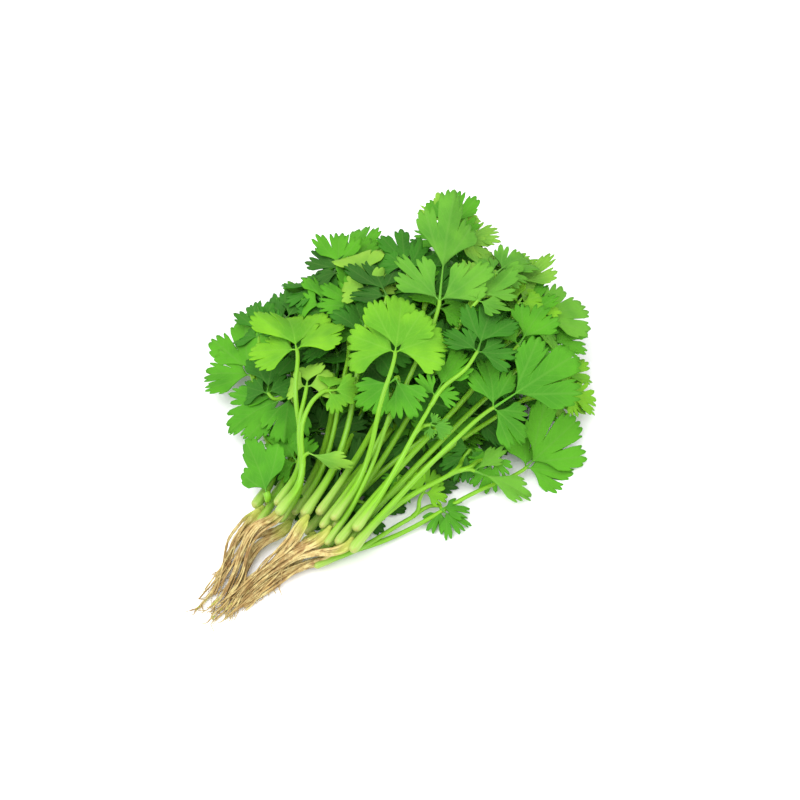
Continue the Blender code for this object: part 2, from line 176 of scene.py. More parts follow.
# Leaves that fill the heap, in layers: the layer's middle (X, Y), its part of the heap's height and of its
# reach to the sides; how far back its front edge stands; how many leaves; their length; and their greens,
# in turn.
Layer = namedtuple("Layer", "middle height reach front count length greens")
# The two darkest greens of these layers are painted shade: more of them lower down, and only they in the
# layer under the stalks.
LAYERS = (
    Layer((0, -8), 0.66, 0.52, -18.0, 12, 33.0, ("mid", "deep", "mid")),
    Layer((0, -8), 0.50, 0.60, -26.0, 14, 34.0, ("deep", "mid", "dark")),
    Layer((6, -10), 0.34, 0.70, -36.0, 15, 34.0, ("deep", "mid", "dark")),
    Layer((6, -10), 0.18, 0.74, -50.0, 16, 34.0, ("dark", "deep", "mid")),
    Layer((6, -10), 0.04, 0.74, -66.0, 15, 32.0, ("dark", "mid")),
    Layer((-62, -12), 0.10, 0.42, -100.0, 16, 27.0, ("dark",)),
)
GOLDEN_TURN = math.pi * (3 - math.sqrt(5))    # between neighbours of an even scatter
FRONT_SCATTER = 12.0       # leaves past their layer's front edge are put up to this far behind it
LAYER_TURN = 0.65          # how much a layer's leaves turn to either side, radians
LAYER_LENGTHS = (0.80, 1.15)                  # of a layer's leaves, as parts of its own length
LAYER_ENDS = ((-0.45, 3.0), (0.55, 1.5))      # node and tip: how far on from the leaf's place, as a part
                                              # of its length, and their least height
LAYER_UNEVEN = 2.5         # how far they stand above or below their layer
LAYER_SIDE_SHARES = (0.7, 0.9)
LAYER_SIDE_ANGLE = 65
LAYER_STALKLET = 0.15
LAYER_FORMS = ("cut", "fan", "cut", "fingered", "arched")

# Each kind of piece draws its random numbers from seeds of its own, counted on from these.
SEEDS = {"root": 100, "stalk": 200, "young stalk": 300, "leaf": 400, "young leaf": 500, "inner stalks": 600,
         "layer": 700, "inner leaves": 800}
ANY_TURN = 6.28            # random turns are drawn from 0 to this, radians

# ---------------------------------------------------------------------------------------------------------
# Settings
# ---------------------------------------------------------------------------------------------------------


def colour_property(name, description, default):
    """A colour setting with a swatch, in linear values."""
    return FloatVectorProperty(name=name, description=description, default=default, size=3,
                               min=0.0, max=1.0, subtype="COLOR")


class CorianderLeafSettings(PropertyGroup):
    """Sizes and greens of the leaves."""
    thickness: FloatProperty(name="Thickness", description="Thickness of a leaflet",
                             default=0.00034, min=0.0001, unit="LENGTH")
    tooth_width: FloatProperty(name="Tooth", description="Width of the small teeth of a leaflet's margin",
                               default=0.0038, min=0.001, unit="LENGTH")
    columns: IntProperty(name="Columns per Tooth", description="Steps round the margin for each tooth",
                         default=6, min=2, subtype="UNSIGNED")
    rows: IntProperty(name="Rows", description="Steps from a leaflet's base to its margin",
                      default=7, min=3, subtype="UNSIGNED")
    # Bright is painted light: a lighter copy of the green, given to leaves that face the light.
    bright: colour_property("Bright", "Leaves that face the light", (0.160, 0.470, 0.011))
    lime: colour_property("Lime", "Young yellow-green leaves", (0.205, 0.470, 0.040))
    mid: colour_property("Middle", "Most leaves", (0.060, 0.320, 0.004))
    pale: colour_property("Pale", "Soft bluish leaves", (0.098, 0.350, 0.022))
    # Deep and Dark are painted shade: darker copies of the green for leaves inside and under the bunch, where
    # shade falls.
    deep: colour_property("Deep", "Old leaves", (0.016, 0.170, 0.002))
    dark: colour_property("Dark", "Leaves low inside the bunch", (0.005, 0.095, 0.001))


class CorianderStalkSettings(PropertyGroup):
    """Sizes and colours of the stalks."""
    base_radius: FloatProperty(name="Base", description="Radius of a stalk at its crown",
                               default=0.0023, min=0.0005, unit="LENGTH")
    middle_radius: FloatProperty(name="Middle", description="Radius of a stalk at half its length",
                                 default=0.0013, min=0.0005, unit="LENGTH")
    end_radius: FloatProperty(name="End", description="Radius of a stalk at its leaf",
                              default=0.0009, min=0.0002, unit="LENGTH")
    cream: colour_property("Cream", "The blanched foot of a stalk", (0.380, 0.550, 0.110))
    green: colour_property("Green", "Most of a stalk", (0.215, 0.520, 0.018))


class CorianderRootSettings(PropertyGroup):
    """Sizes and colours of the roots."""
    crown_radius: FloatProperty(name="Crown", description="Radius of a root where its stalks leave it",
                                default=0.0021, min=0.001, unit="LENGTH")
    side_roots: IntProperty(name="Side Roots", description="Thick side roots that run along each taproot",
                            default=7, min=1, subtype="UNSIGNED")
    fine_roots: IntProperty(name="Fine Roots", description="Fine roots on each taproot",
                            default=22, min=1, subtype="UNSIGNED")
    tan: colour_property("Tan", "Clean root skin", (0.450, 0.320, 0.115))
    brown: colour_property("Brown", "Weathered root skin", (0.215, 0.105, 0.030))
    straw: colour_property("Straw", "Young root tips and crowns", (0.600, 0.520, 0.230))


class CorianderStageSettings(PropertyGroup):
    """The floor, lights and camera."""
    floor_size: FloatProperty(name="Floor", description="Side of the square floor",
                              default=6.0, min=1.0, unit="LENGTH")
    key_power: FloatProperty(name="Key Light", description="Power of the large soft light",
                             default=15.0, min=0.0, unit="POWER")
    ambient: FloatProperty(name="Ambient", description="Strength of the light from all round",
                           default=1.0, min=0.0, subtype="FACTOR")


# ---------------------------------------------------------------------------------------------------------
# Mesh making
# ---------------------------------------------------------------------------------------------------------

Patch = namedtuple("Patch", "points faces grain tone")   # faces: pairs of corner numbers and material slot


def to_row(points):
    """Layout millimetres turned into metres in the row frame."""
    return (np.asarray(points, float) + LAYOUT_ORIGIN) * MM


def unit(vectors):
    """The vectors over their own lengths."""
    return vectors / np.linalg.norm(vectors, axis=-1, keepdims=True)


def grid_faces(rows, columns, wrap=False):
    """Quads of a grid of points counted row by row; with wrap, the last column joins the first."""
    row = np.arange(rows - 1)[:, None] * columns
    column = np.arange(columns if wrap else columns - 1)[None, :]
    after = (column + 1) % columns
    corners = (row + column, row + after, row + columns + after, row + columns + column)
    return np.stack(corners, axis=-1).reshape(-1, 4)


def draws(kind, number):
    """The random numbers of one piece, the same in each run."""
    return np.random.default_rng(SEEDS[kind] + number)


def make_piece(name, patches, materials):
    """One mesh object from the patches, with their materials, smooth faces and grain attributes."""
    starts = np.cumsum([0] + [len(patch.points) for patch in patches])
    faces = [(group + start, slot) for start, patch in zip(starts, patches) for group, slot in patch.faces]
    corners = np.concatenate([group.ravel() for group, _ in faces]).astype(np.int32)
    sizes = np.concatenate([np.full(len(group), group.shape[1]) for group, _ in faces])
    slots = np.concatenate([np.full(len(group), slot) for group, slot in faces]).astype(np.int32)
    points = to_row(np.concatenate([patch.points for patch in patches]))
    mesh = bpy.data.meshes.new(name)
    mesh.vertices.add(len(points))
    mesh.loops.add(len(corners))
    mesh.polygons.add(len(sizes))
    mesh.vertices.foreach_set("co", points.astype(np.float32).ravel())
    mesh.loops.foreach_set("vertex_index", corners)
    mesh.polygons.foreach_set("loop_start", (np.cumsum(sizes) - sizes).astype(np.int32))
    mesh.polygons.foreach_set("material_index", slots)
    grain = np.concatenate([patch.grain for patch in patches]).astype(np.float32)
    tone = np.concatenate([np.full(len(patch.points), patch.tone) for patch in patches])
    mesh.attributes.new("grain", "FLOAT_VECTOR", "POINT").data.foreach_set("vector", grain.ravel())
    mesh.attributes.new("tone", "FLOAT", "POINT").data.foreach_set("value", tone.astype(np.float32))
    for material in materials:
        mesh.materials.append(material)
    mesh.update(calc_edges=True)
    if mesh.validate():
        raise RuntimeError(f"{name} has faces that Blender had to repair")
    mesh.shade_smooth()
    piece = bpy.data.objects.new(name, mesh)
    bpy.context.scene.collection.objects.link(piece)
    return piece


def add_part(name, patches, materials, node=None):
    """A piece of the bunch, which rides on its one body and stands for a plain solid if one is named."""
    piece = make_piece(name, patches, materials)
    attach(piece, "root")
    if node:
        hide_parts(node)


HANDLE_PART = 2.5614       # makes a path through four even knots of a circle round


def smooth_path(knots, steps):
    """Points on a smooth curve through the knots.

    Each span is a cubic whose handles lie along the sum of the unit vectors of a knot's two spans, and are
    as long as the span over HANDLE_PART.
    """
    knots = np.asarray(knots, float)
    span = np.diff(knots, axis=0)
    before = np.vstack((span[:1], span))
    after = np.vstack((span, span[-1:]))
    tangent = unit(before) + unit(after)
    size = HANDLE_PART * np.linalg.norm(tangent, axis=1, keepdims=True)
    leaving = knots + tangent * np.linalg.norm(after, axis=1, keepdims=True) / size
    coming = knots - tangent * np.linalg.norm(before, axis=1, keepdims=True) / size
    t = np.linspace(0, 1, steps, endpoint=False)[None, :, None]
    curve = ((1 - t) ** 3 * knots[:-1, None] + 3 * t * (1 - t) ** 2 * leaving[:-1, None]
             + 3 * t ** 2 * (1 - t) * coming[1:, None] + t ** 3 * knots[1:, None])
    return np.vstack((curve.reshape(-1, 3), knots[-1:]))


def along_path(path):
    """How far along the path each point is, from 0 to 1, and the path's length."""
    steps = np.linalg.norm(np.diff(path, axis=-2), axis=-1)
    run = np.concatenate((np.zeros_like(steps[..., :1]), np.cumsum(steps, axis=-1)), axis=-1)
    return run / run[..., -1:], run[..., -1]


def tubes(paths, radii, sides, tone, ribs=(0, 0), slot=0):
    """Round tubes along several paths of as many points each.

    A point is the path's place plus radius * (1 + depth * cos(ribs * a)) * (cos a * side + sin a * top),
    where ribs is a pair of their number and depth. Side is across the tangent and the direction along which
    the whole path runs least, and top is across the tangent and side. Each end is one flat face.
    """
    count, rings = paths.shape[:2]
    tangent = unit(np.gradient(paths, axis=1))
    _, axes = np.linalg.eigh(np.einsum("mni,mnj->mij", tangent, tangent))
    level = np.repeat(axes[:, None, :, 0], rings, axis=1)
    side = unit(np.cross(level, tangent))
    top = np.cross(tangent, side)
    turn = np.linspace(0, 2 * np.pi, sides, endpoint=False)
    swell = 1 + ribs[1] * np.cos(ribs[0] * turn)
    round_shape = np.cos(turn)[:, None] * side[:, :, None] + np.sin(turn)[:, None] * top[:, :, None]
    points = paths[:, :, None] + radii[:, :, None, None] * swell[:, None] * round_shape
    share, _ = along_path(paths)
    grain = np.empty(points.shape)
    grain[..., 0] = np.cos(turn)
    grain[..., 1] = np.sin(turn)
    grain[..., 2] = share[:, :, None]
    start = np.arange(count)[:, None, None] * rings * sides
    walls = (grid_faces(rings, sides, wrap=True)[None] + start).reshape(-1, 4)
    ends = np.stack((np.arange(sides)[::-1], np.arange(sides) + (rings - 1) * sides))
    caps = (ends[None] + start).reshape(-1, sides)
    return Patch(points.reshape(-1, 3), ((walls, slot), (caps, slot)), grain.reshape(-1, 3), tone)


def sheet(surface, thickness, grain, tone, slots):
    """A closed sheet round a grid of points, rows by columns: an upper and an under face, half the
    thickness away on either side along the grid's normal, and four rims between them."""
    rows, columns = surface.shape[:2]
    normal = unit(np.cross(np.gradient(surface, axis=1), np.gradient(surface, axis=0)))
    top = surface + normal * thickness / 2
    bottom = surface - normal * thickness / 2
    count = rows * columns
    index = np.arange(count).reshape(rows, columns)
    rim = np.concatenate((index[0, :-1], index[:-1, -1], index[-1, :0:-1], index[:0:-1, 0]))
    after = np.roll(rim, -1)
    upper = grid_faces(rows, columns)[:, ::-1]
    lower = grid_faces(rows, columns) + count
    edge = np.stack((rim, after, after + count, rim + count), axis=1)
    points = np.concatenate((top.reshape(-1, 3), bottom.reshape(-1, 3)))
    grain = np.concatenate((grain.reshape(-1, 3), grain.reshape(-1, 3)))
    return Patch(points, ((upper, slots[0]), (edge, slots[0]), (lower, slots[1])), grain, tone)


# ---------------------------------------------------------------------------------------------------------
# Stalks
# ---------------------------------------------------------------------------------------------------------

# Where a stalk stands on its crown
FOOT_RADIUS = 2.2          # of a stalk at its foot, as the ring is spaced
STALK_RING = 3.2           # least radius of the ring of stalks on a root's crown
STALK_SPACING = 1.1        # of neighbours in the ring, in foot diameters
RING_AHEAD = 1.0           # how far in front of the crown the ring stands
FOOT_STAGGER = 6.5         # how far feet stand in front of or behind each other,
STAGGER_TURN = 2.4         # in a wave of this many radians for each degree round the ring
LOW_NODE = (8.0, 18.0)     # heights of a leaf's node between which its stalk goes over from low to high
LOW_FOOT = np.array((-8.0, 5.0, -2.0))            # how far from the ring a low stalk starts

# How a high stalk runs: level out of the crown, then up, and at last towards the blade's midrib
FOOT_LENGTH = 5.0          # its level foot, or FOOT_SHARE of its reach if that is less
FOOT_SHARE = 0.3
EARLY_SHARE = 0.3          # its second bend, as a part of its reach,
EARLY_FAN = 0.003          # how fast stalks fan out to the sides by then, per mm,
EARLY_RISE = 0.04          # and how much of its way to the side and up it has made by then
LATE_SHARE = 0.25          # how far before its end its last bend lies, as a part of its reach
LATE_TURN = 0.35           # how much its last stretch turns towards the midrib
STALK_STOP = 2.3           # where its last stretch ends, before the node
NODE_OVERLAP = 0.3         # how far every stalk runs on into its node
BACK_LIMIT = 0.2           # cosine of stalk to midrib below which it comes to the node from below
BACK_RISE = 2

# How a low stalk runs: nearly straight to its leaf, with a slight bow
LOW_FOOT_LENGTH = 4.0
LOW_BOW_SHARE = 0.33       # where the bow is, as a part of its way
LOW_BOW = 3.2              # how far it goes to -Y there, for a stalk that ends at LOW_BOW_X,
LOW_BOW_X = -50
LOW_BOW_GROWTH = 0.06      # and how much further for each mm that it ends ahead of that

# Where a smaller stalk branches off
SHORT_STALK = 40.0         # not from a shorter stalk,
BRANCH_SHARES = (0.12, 0.93)      # nor outside of these shares of the stalk
TURN_COST = 40             # mm of distance that a branch at right angles to the stalk counts for
PLACE_COST = 60            # mm that a branch a whole stalk away from the wanted share counts for
UNFIT_COST = 1e3
BRANCH_BEND = 0.3          # its bends, from either end, as parts of its reach
BRANCH_TURN = 0.5          # how much its last stretch turns towards the midrib

# How thick stalks are
FOOT_RUNS = (0, 4, 12)     # mm from the foot at which a stalk has these parts of its base radius
FOOT_PARTS = (0.85, 1.0, 0.80)
MIDDLE_RUN = (28, 0.35)    # mm and part of the length at which it has its middle radius, the further one
ROUND_END = 0.97           # how far the rounded foot closes
LOW_WIDTH = 0.75           # a low stalk's thickness against a high one's
FULL_LENGTH = 45           # stalks shorter than this are thinner,
THINNING = 0.8             # by this power of their length
STALK_WIDTHS = (0.80, 1.15)       # how much stalks vary
YOUNG_RADII = (1.2, 0.8)   # of a young leaf's stalk, from where it branches off to its node
INNER_RADII = (1.15, 0.7)
YOUNG_SHARE = 0.8          # how far up a bigger stalk a young leaf's stalk branches off,
INNER_SHARES = (0.25, 0.8) # and those of the leaves that fill the heap
INNER_TONE = -0.6
INNER_GAP = 1.2            # least height of an inner stalk's middle over the floor, mm,
STALK_GAP = 1.1            # and of a leaf's stalk, in its base radii

# How fine their meshes are
STALK_STEPS = 9            # points for each span of a path,
INNER_STEPS = 7
SEARCH_STEPS = 6           # and where a branch's start is looked for
STALK_SIDES = 16
YOUNG_SIDES = 12
INNER_SIDES = 9
STALK_RIBS = (8, 0.035)    # number of ribs and their depth, as a part of the radius
YOUNG_RIBS = (6, 0.03)


def blade_frame(node, tip):
    """The blade's own axes: along to the tip, across, and up out of its upper face."""
    along = unit(tip - node)
    place = (node + tip) / 2 - HEAP_MIDDLE
    outward = unit(place / HEAP_REACH ** 2)
    height = place[2] + HEAP_MIDDLE[2]
    lean = np.clip(EVEN_LEAN + outward[:2] @ LEANING_SIDE, *LEANS)
    follow = HEAP_FOLLOW * lean * min(max(height, 0.0) / LYING_HEIGHT, 1.0)
    up = outward * follow + np.array((0, 0, 1 - follow))
    up = unit(up - along * (up @ along))
    return along, np.cross(up, along), up


def lowness(leaf):
    """1 for a leaf whose stalk runs low over the floor, 0 for a high one."""
    return np.interp(leaf.node[2], LOW_NODE, (1, 0))


def stalk_base(leaf):
    """The foot of a leaf's stalk, in the ring of stalks on its plant's crown."""
    count = sum(other.plant == leaf.plant for other in LEAVES)
    ring = max(STALK_RING, STALK_SPACING * FOOT_RADIUS / math.sin(math.pi / count))
    crown_y, crown_z = PLANTS[leaf.plant][0]
    angle = math.radians(leaf.slot)
    x = CROWN_X + RING_AHEAD + FOOT_STAGGER * math.sin(STAGGER_TURN * leaf.slot)
    base = np.array((x, crown_y + ring * math.cos(angle), crown_z + ring * math.sin(angle)))
    return base + LOW_FOOT * lowness(leaf)


def stalk_arrival(node, tip, path):
    """The direction in which a stalk comes to its node: along the midrib, or up from below where the
    blade points back along the stalk."""
    along, _, up = blade_frame(node, tip)
    back = max(0.0, BACK_LIMIT - along @ path)
    return unit(along + up * BACK_RISE * back)


def stalk_path(leaf, steps):
    """Points along a leaf's stalk, from its crown to its node."""
    base, node, tip = stalk_base(leaf), np.array(leaf.node, float), np.array(leaf.tip, float)
    path = unit(node - base)
    arrive = stalk_arrival(node, tip, path)
    end = node - arrive * STALK_STOP
    way = end - base
    reach = np.linalg.norm(way)
    low = lowness(leaf)
    foot = base + np.array((min(FOOT_LENGTH, FOOT_SHARE * reach), 0, 0))
    low_foot = way / reach * LOW_FOOT_LENGTH + base
    early = base + np.array((1, EARLY_FAN * way[1], 0)) * EARLY_SHARE * reach + way * EARLY_RISE
    low_early = base + way * LOW_BOW_SHARE - (0, LOW_BOW + LOW_BOW_GROWTH * (end[0] - LOW_BOW_X), 0)
    late = end - unit(path + arrive * LATE_TURN * (1 - low)) * LATE_SHARE * reach
    return smooth_path((base, foot + (low_foot - foot) * low, early + (low_early - early) * low, late, end,
                        node + arrive * NODE_OVERLAP), steps)


def heap_height(place):
    """Height of the heap's rounded top over places (x, y), and 0 outside of it."""
    flat = (place - HEAP_MIDDLE[:2]) / HEAP_REACH[:2]
    rise = np.sqrt(np.maximum(1 - np.sum(flat ** 2, axis=-1), 0))
    return np.maximum(HEAP_MIDDLE[2] + HEAP_REACH[2] * rise, 0)


def layer_leaves(layer, draw):
    """The leaves of one layer, scattered evenly over the heap and pointing away from the roots.

    The place of leaf k of n is at the turn (k + 0.5) times the golden turn, and out at the square root of
    (k + 0.5) / n. Its node and tip lie on the heap's top, lowered to the layer's part of its height.
    """
    number = np.arange(layer.count) + 0.5
    out = np.sqrt(number / layer.count)[:, None] * layer.reach
    turn = number * GOLDEN_TURN + draw.uniform(0, ANY_TURN)
    place = layer.middle + HEAP_REACH[:2] * out * np.stack((np.cos(turn), np.sin(turn)), axis=1)
    behind = layer.front + draw.uniform(0, FRONT_SCATTER, layer.count)
    place[:, 0] = np.where(place[:, 0] < layer.front, behind, place[:, 0])
    away = np.arctan2(place[:, 1] - CROWNS_Y, place[:, 0] - CROWN_X) + draw.normal(0, LAYER_TURN, layer.count)
    run = np.stack((np.cos(away), np.sin(away)), axis=1) * layer.length
    run = run * draw.uniform(*LAYER_LENGTHS, (layer.count, 1))
    ends = []
    for share, least in LAYER_ENDS:
        flat = place + run * share
        height = heap_height(flat) * layer.height + draw.uniform(-LAYER_UNEVEN, LAYER_UNEVEN, layer.count)
        ends.append(np.column_stack((flat, np.maximum(height, least))))
    return [Young(tuple(node), tuple(tip), draw.uniform(*LAYER_SIDE_SHARES), LAYER_SIDE_ANGLE, LAYER_STALKLET,
                  BOTH, LAYER_FORMS[k % len(LAYER_FORMS)], layer.greens[k % len(layer.greens)])
            for k, (node, tip) in enumerate(zip(*ends))]


def branch_start(node, share):
    """The point on a bigger leaf's stalk where a stalk to the node leaves it, and the stalk's direction.

    Of all the points on all the stalks it is the one of least cost: the distance to the node, plus
    TURN_COST * (1 - cosine of the way there to the stalk), plus PLACE_COST times how far the point is from
    the wanted share.
    """
    paths = np.stack([stalk_path(leaf, SEARCH_STEPS) for leaf in LEAVES])
    along = unit(np.gradient(paths, axis=1))
    way = node - paths
    far = np.linalg.norm(way, axis=-1)
    turn = 1 - np.sum(along * way, axis=-1) / far
    shares, lengths = along_path(paths)
    first, last = BRANCH_SHARES
    unfit = (shares < first) | (shares > last) | (np.reshape(lengths, (-1, 1)) < SHORT_STALK)
    cost = far + TURN_COST * turn + PLACE_COST * abs(shares - share) + np.where(unfit, UNFIT_COST, 0)
    best = np.unravel_index(np.argmin(cost), cost.shape)
    return paths[best], along[best]


def branch_path(young, share, steps):
    """Points along a young leaf's stalk, from a bigger leaf's stalk to its node."""
    node, tip = np.array(young.node, float), np.array(young.tip, float)
    start, along = branch_start(node, share)
    path = unit(node - start)
    arrive = stalk_arrival(node, tip, path)
    reach = np.linalg.norm(node - start)
    early = start + unit(along + path) * BRANCH_BEND * reach
    late = node - unit(path + arrive * BRANCH_TURN) * BRANCH_BEND * reach
    return smooth_path((start, early, late, node + arrive * NODE_OVERLAP), steps)


def leaf_stalk(leaf, settings, draw):
    """The stalk of a leaf: rounded and swollen at its foot, then slender, with fine ribs.

    The foot is rounded by sqrt(1 - (1 - run / r)^2), where r is its first radius.
    """
    path = stalk_path(leaf, STALK_STEPS)[None]
    share, length = along_path(path)
    run = share * length
    length = length[0]
    radii = np.array((*(settings.base_radius * part for part in FOOT_PARTS),
                      settings.middle_radius, settings.end_radius)) / MM
    middle = max(MIDDLE_RUN[0], MIDDLE_RUN[1] * length)
    thickness = np.interp(run, (*FOOT_RUNS, middle, length), radii)
    slim = np.interp(leaf.node[2], LOW_NODE, (LOW_WIDTH, 1)) * min(1, (length / FULL_LENGTH) ** THINNING)
    thickness = thickness * (1 + (slim * draw.uniform(*STALK_WIDTHS) - 1) * (1 - share))
    thickness = thickness * np.sqrt(1 - np.clip(1 - run / radii[0], 0, ROUND_END) ** 2)
    path = over_floor(path, radii[1] * STALK_GAP)
    return tubes(path, thickness, STALK_SIDES, draw.uniform(-1, 1), STALK_RIBS)


def young_stalk(young, draw):
    """The stalk of a young leaf, which tapers evenly."""
    path = branch_path(young, YOUNG_SHARE, STALK_STEPS)[None]
    share, _ = along_path(path)
    return tubes(path, np.interp(share, (0, 1), YOUNG_RADII), YOUNG_SIDES, draw.uniform(-1, 1), YOUNG_RIBS)


def inner_stalks(layer, leaves, draw):
    """The stalks of all the leaves of a layer."""
    shares = draw.uniform(*INNER_SHARES, layer.count)
    paths = np.stack([branch_path(leaf, share, INNER_STEPS) for leaf, share in zip(leaves, shares)])
    share, _ = along_path(paths)
    return tubes(over_floor(paths, INNER_GAP), np.interp(share, (0, 1), INNER_RADII), INNER_SIDES, INNER_TONE)


# ---------------------------------------------------------------------------------------------------------
# Leaflets
# ---------------------------------------------------------------------------------------------------------

# How a leaflet is cut. Lengths are parts of its own, and a pair is the range of a random factor.
CLEFT_SWAY = 0.05          # of the clefts' angles, radians
LOBE_LENGTHS = (0.90, 1.04)
VEIN_PLACES = (0.58, 0.5, 0.42)   # of the lobes' main veins, as parts of their spans
LEAST_TEETH = 2            # of a lobe
TOOTH_SHIFT = 0.2          # of a notch between teeth, in tooth widths
TOOTH_DEPTHS = (0.4, 1.35)
CLEFT_DEPTHS = (0.7, 1.2)
CORNER_DEPTH = 0.04        # of the margin's two ends
NOTCH_LIMIT = 0.6          # the deepest a notch may be, as a part of the reach of the margin there
TOOTH_SLIT = 2.1           # how narrow the notches between teeth are, as the clefts' slit is
OUTER_FALL = 2.2           # how much faster a side lobe falls off on its outer side
INNER_REACH = 0.035        # the blade starts this far from the leaflet's base,
INNER_LIMIT = 0.96         # and at most at this part of the margin's reach

# How a leaflet is bent
NARROWNESS = 0.94          # its width against a plain fan's
ROW_SPACING = 0.8          # below 1, rows lie closer together towards the margin
SKEW = 0.08                # to one side or the other
DROOPS = (0.6, 1.5)
DOMES = (0.5, 1.4)
WAVES = (0.5, 1.5)
CREASE = (0.07, 0.01)      # the most that the sides rise from the midrib, and how soft the crease is there
LOBE_TILT = 0.26           # spread of the lobes' tilts, which start at TILT_START of its length
TILT_START = 0.3
WAVE_TURNS = (2.3, 5.1)    # waves for each radian round the fan, in radians: long ones and short ones
SHORT_WAVE = 0.6           # how high the short ones are against the long ones
SHORTENING = 0.6           # how much a blade draws in where it droops

# How a leaf is put together
SIDE_SWAY = 4              # of a leaflet's direction, degrees
ROLL = 0.20                # spread of how leaflets turn on their midribs, radians
PITCH = 0.12               # and of how they rise or sink
SIDE_STALKLET = 1.0        # mm
RIB_SINK = 0.25            # how far the middle of a rib lies under the blade's, mm
RIB_SHARES = (0, 0.4, 1)   # from the node to the rib's end: its radii, mm
RIB_RADII = (0.75, 0.40, 0.08)
RIB_SIDES = 7
RIB_STEPS = 3
FLOOR_GAP = 0.35           # least height of a blade over the floor, mm,
RIB_GAP = 0.6              # and of the middle of a rib
FLOOR_EASE = 1.2           # how gradually a blade that meets the floor turns to lie on it, mm
INNER_ROWS = 5             # rows of a leaflet that fills the heap


def leaflet_margin(form, length, settings, draw):
    """How a leaflet is cut: the angle of each of its columns, where the blade starts and ends on it, its
    angle from the nearest main vein, and the angles of the three main veins.

    Without teeth a lobe reaches to E = L * (1 - fall * ((angle - vein) / half-span)^2). Between two notches
    t runs from -1 to 1, and the margin is at E, less the depth of the nearer notch times |t|^slit. A notch
    is no deeper than NOTCH_LIMIT of the reach at its place.
    """
    width = settings.tooth_width / MM / length
    base = np.radians(form.base)
    cleft = np.radians(form.split) * np.array((-1, 1)) + draw.normal(0, CLEFT_SWAY, 2)
    bounds = np.array((-base, *cleft, base))
    span = np.diff(bounds)
    lengths = np.array((form.side, 1, form.side)) * draw.uniform(*LOBE_LENGTHS, 3)
    veins = bounds[:-1] + span * VEIN_PLACES
    counts = np.maximum(np.round(span * lengths / width).astype(int), LEAST_TEETH)
    lobe = np.repeat(np.arange(3), counts)
    place = np.concatenate([np.arange(count) / count for count in counts])
    edges = np.append(bounds[lobe] + span[lobe] * place, base)
    inside = np.append(place > 0, False)
    edges[inside] += (draw.uniform(-TOOTH_SHIFT, TOOTH_SHIFT, len(edges)) * width)[inside]
    depth = np.where(inside, form.tooth * width * draw.uniform(*TOOTH_DEPTHS, len(edges)),
                     form.cleft * draw.uniform(*CLEFT_DEPTHS, len(edges)))
    depth[[0, -1]] = CORNER_DEPTH
    slit = np.where(inside, TOOTH_SLIT, form.slit)

    def envelope(angle, lobe):
        off = (angle - veins[lobe]) / (span[lobe] / 2)
        outer = np.where((angle - veins[lobe]) * (lobe - 1) > 0, OUTER_FALL, 1.0)
        return lengths[lobe] * (1 - form.fall * outer * off ** 2)

    low, high = envelope(edges[:-1], lobe), envelope(edges[1:], lobe)
    bottom = np.minimum(np.append(low, high[-1]), np.append(low[0], high))
    bottom = bottom - np.minimum(depth, NOTCH_LIMIT * bottom)
    t = -np.cos(np.pi * np.arange(settings.columns) / settings.columns)
    angle = edges[:-1, None] + np.diff(edges)[:, None] * (t + 1) / 2
    reach = envelope(angle, lobe[:, None])
    reach = reach - (low - bottom[:-1])[:, None] * np.maximum(-t, 0) ** slit[:-1, None]
    reach = reach - (high - bottom[1:])[:, None] * np.maximum(t, 0) ** slit[1:, None]
    angle = np.append(angle.ravel(), base)
    reach = np.append(reach.ravel(), bottom[-1])
    ends = np.interp(angle, angle[[0, -1]], INNER_LIMIT * reach[[0, -1]])
    foot = INNER_REACH + (ends - INNER_REACH) * abs(angle / base) ** form.wedge
    nearest = np.argmin(abs(angle[:, None] - veins), axis=1)
    return angle, np.minimum(foot, INNER_LIMIT * reach), reach, angle - veins[nearest], veins


def leaflet_surface(form, length, base, axes, margin, rows, draw):
    """A grid of points on one leaflet, rows from base to margin by columns round the fan.

    In the flat leaflet a point is at r * (cos, sin) of its column's angle. It is then bent: down by
    droop * x^2 and dome * y^2, up to both sides of a soft crease along the midrib, up or down lobe by lobe
    with (r - TILT_START)^1.5, and by waves that grow with r^2.5. Where it meets the floor it is laid on it.
    """
    angle, foot, reach, away, veins = margin
    along, across, up = axes
    share = np.linspace(0, 1, rows + 1)[:, None] ** ROW_SPACING
    r = foot + share * (reach - foot)
    x = r * np.cos(angle)
    y = r * np.sin(angle) * NARROWNESS
    x = x + draw.uniform(-SKEW, SKEW) * y * x
    droop = form.droop * draw.uniform(*DROOPS)
    dome = form.dome * draw.uniform(*DOMES)
    wave = form.wave * draw.uniform(*WAVES)
    phase = draw.uniform(0, 2 * np.pi, 2)
    z = -droop * x ** 2 - dome * y ** 2 + draw.uniform(0.0, CREASE[0]) * np.sqrt(y ** 2 + CREASE[1])
    tilt = np.interp(angle, veins, draw.normal(0, LOBE_TILT, 3))
    z = z + tilt * np.maximum(r - TILT_START, 0) ** 1.5
    long, short = (np.sin(turns * angle + start) for turns, start in zip(WAVE_TURNS, phase))
    z = z + wave * r ** 2.5 * (long + SHORT_WAVE * short)
    x = x - SHORTENING * droop ** 2 * x ** 3
    y = y - SHORTENING * dome ** 2 * y ** 3
    points = base + length * (x[..., None] * along + y[..., None] * across + z[..., None] * up)
    grain = np.stack((np.broadcast_to(away, x.shape), r, np.broadcast_to(share, x.shape)), axis=-1)
    return over_floor(points, FLOOR_GAP), grain


def over_floor(points, gap):
    """The points with low heights h over the floor eased to (h + g + sqrt((h - g)^2 + e^2)) / 2, which is
    never under the gap g. Those higher than g by 3 e or more stay as they are."""
    height = points[..., 2] + LAYOUT_ORIGIN[2]
    eased_height = (height + gap + np.sqrt((height - gap) ** 2 + FLOOR_EASE ** 2)) / 2
    raised = np.where(height < gap + 3 * FLOOR_EASE, eased_height, height)
    return np.concatenate((points[..., :2], raised[..., None] - LAYOUT_ORIGIN[2]), axis=-1)


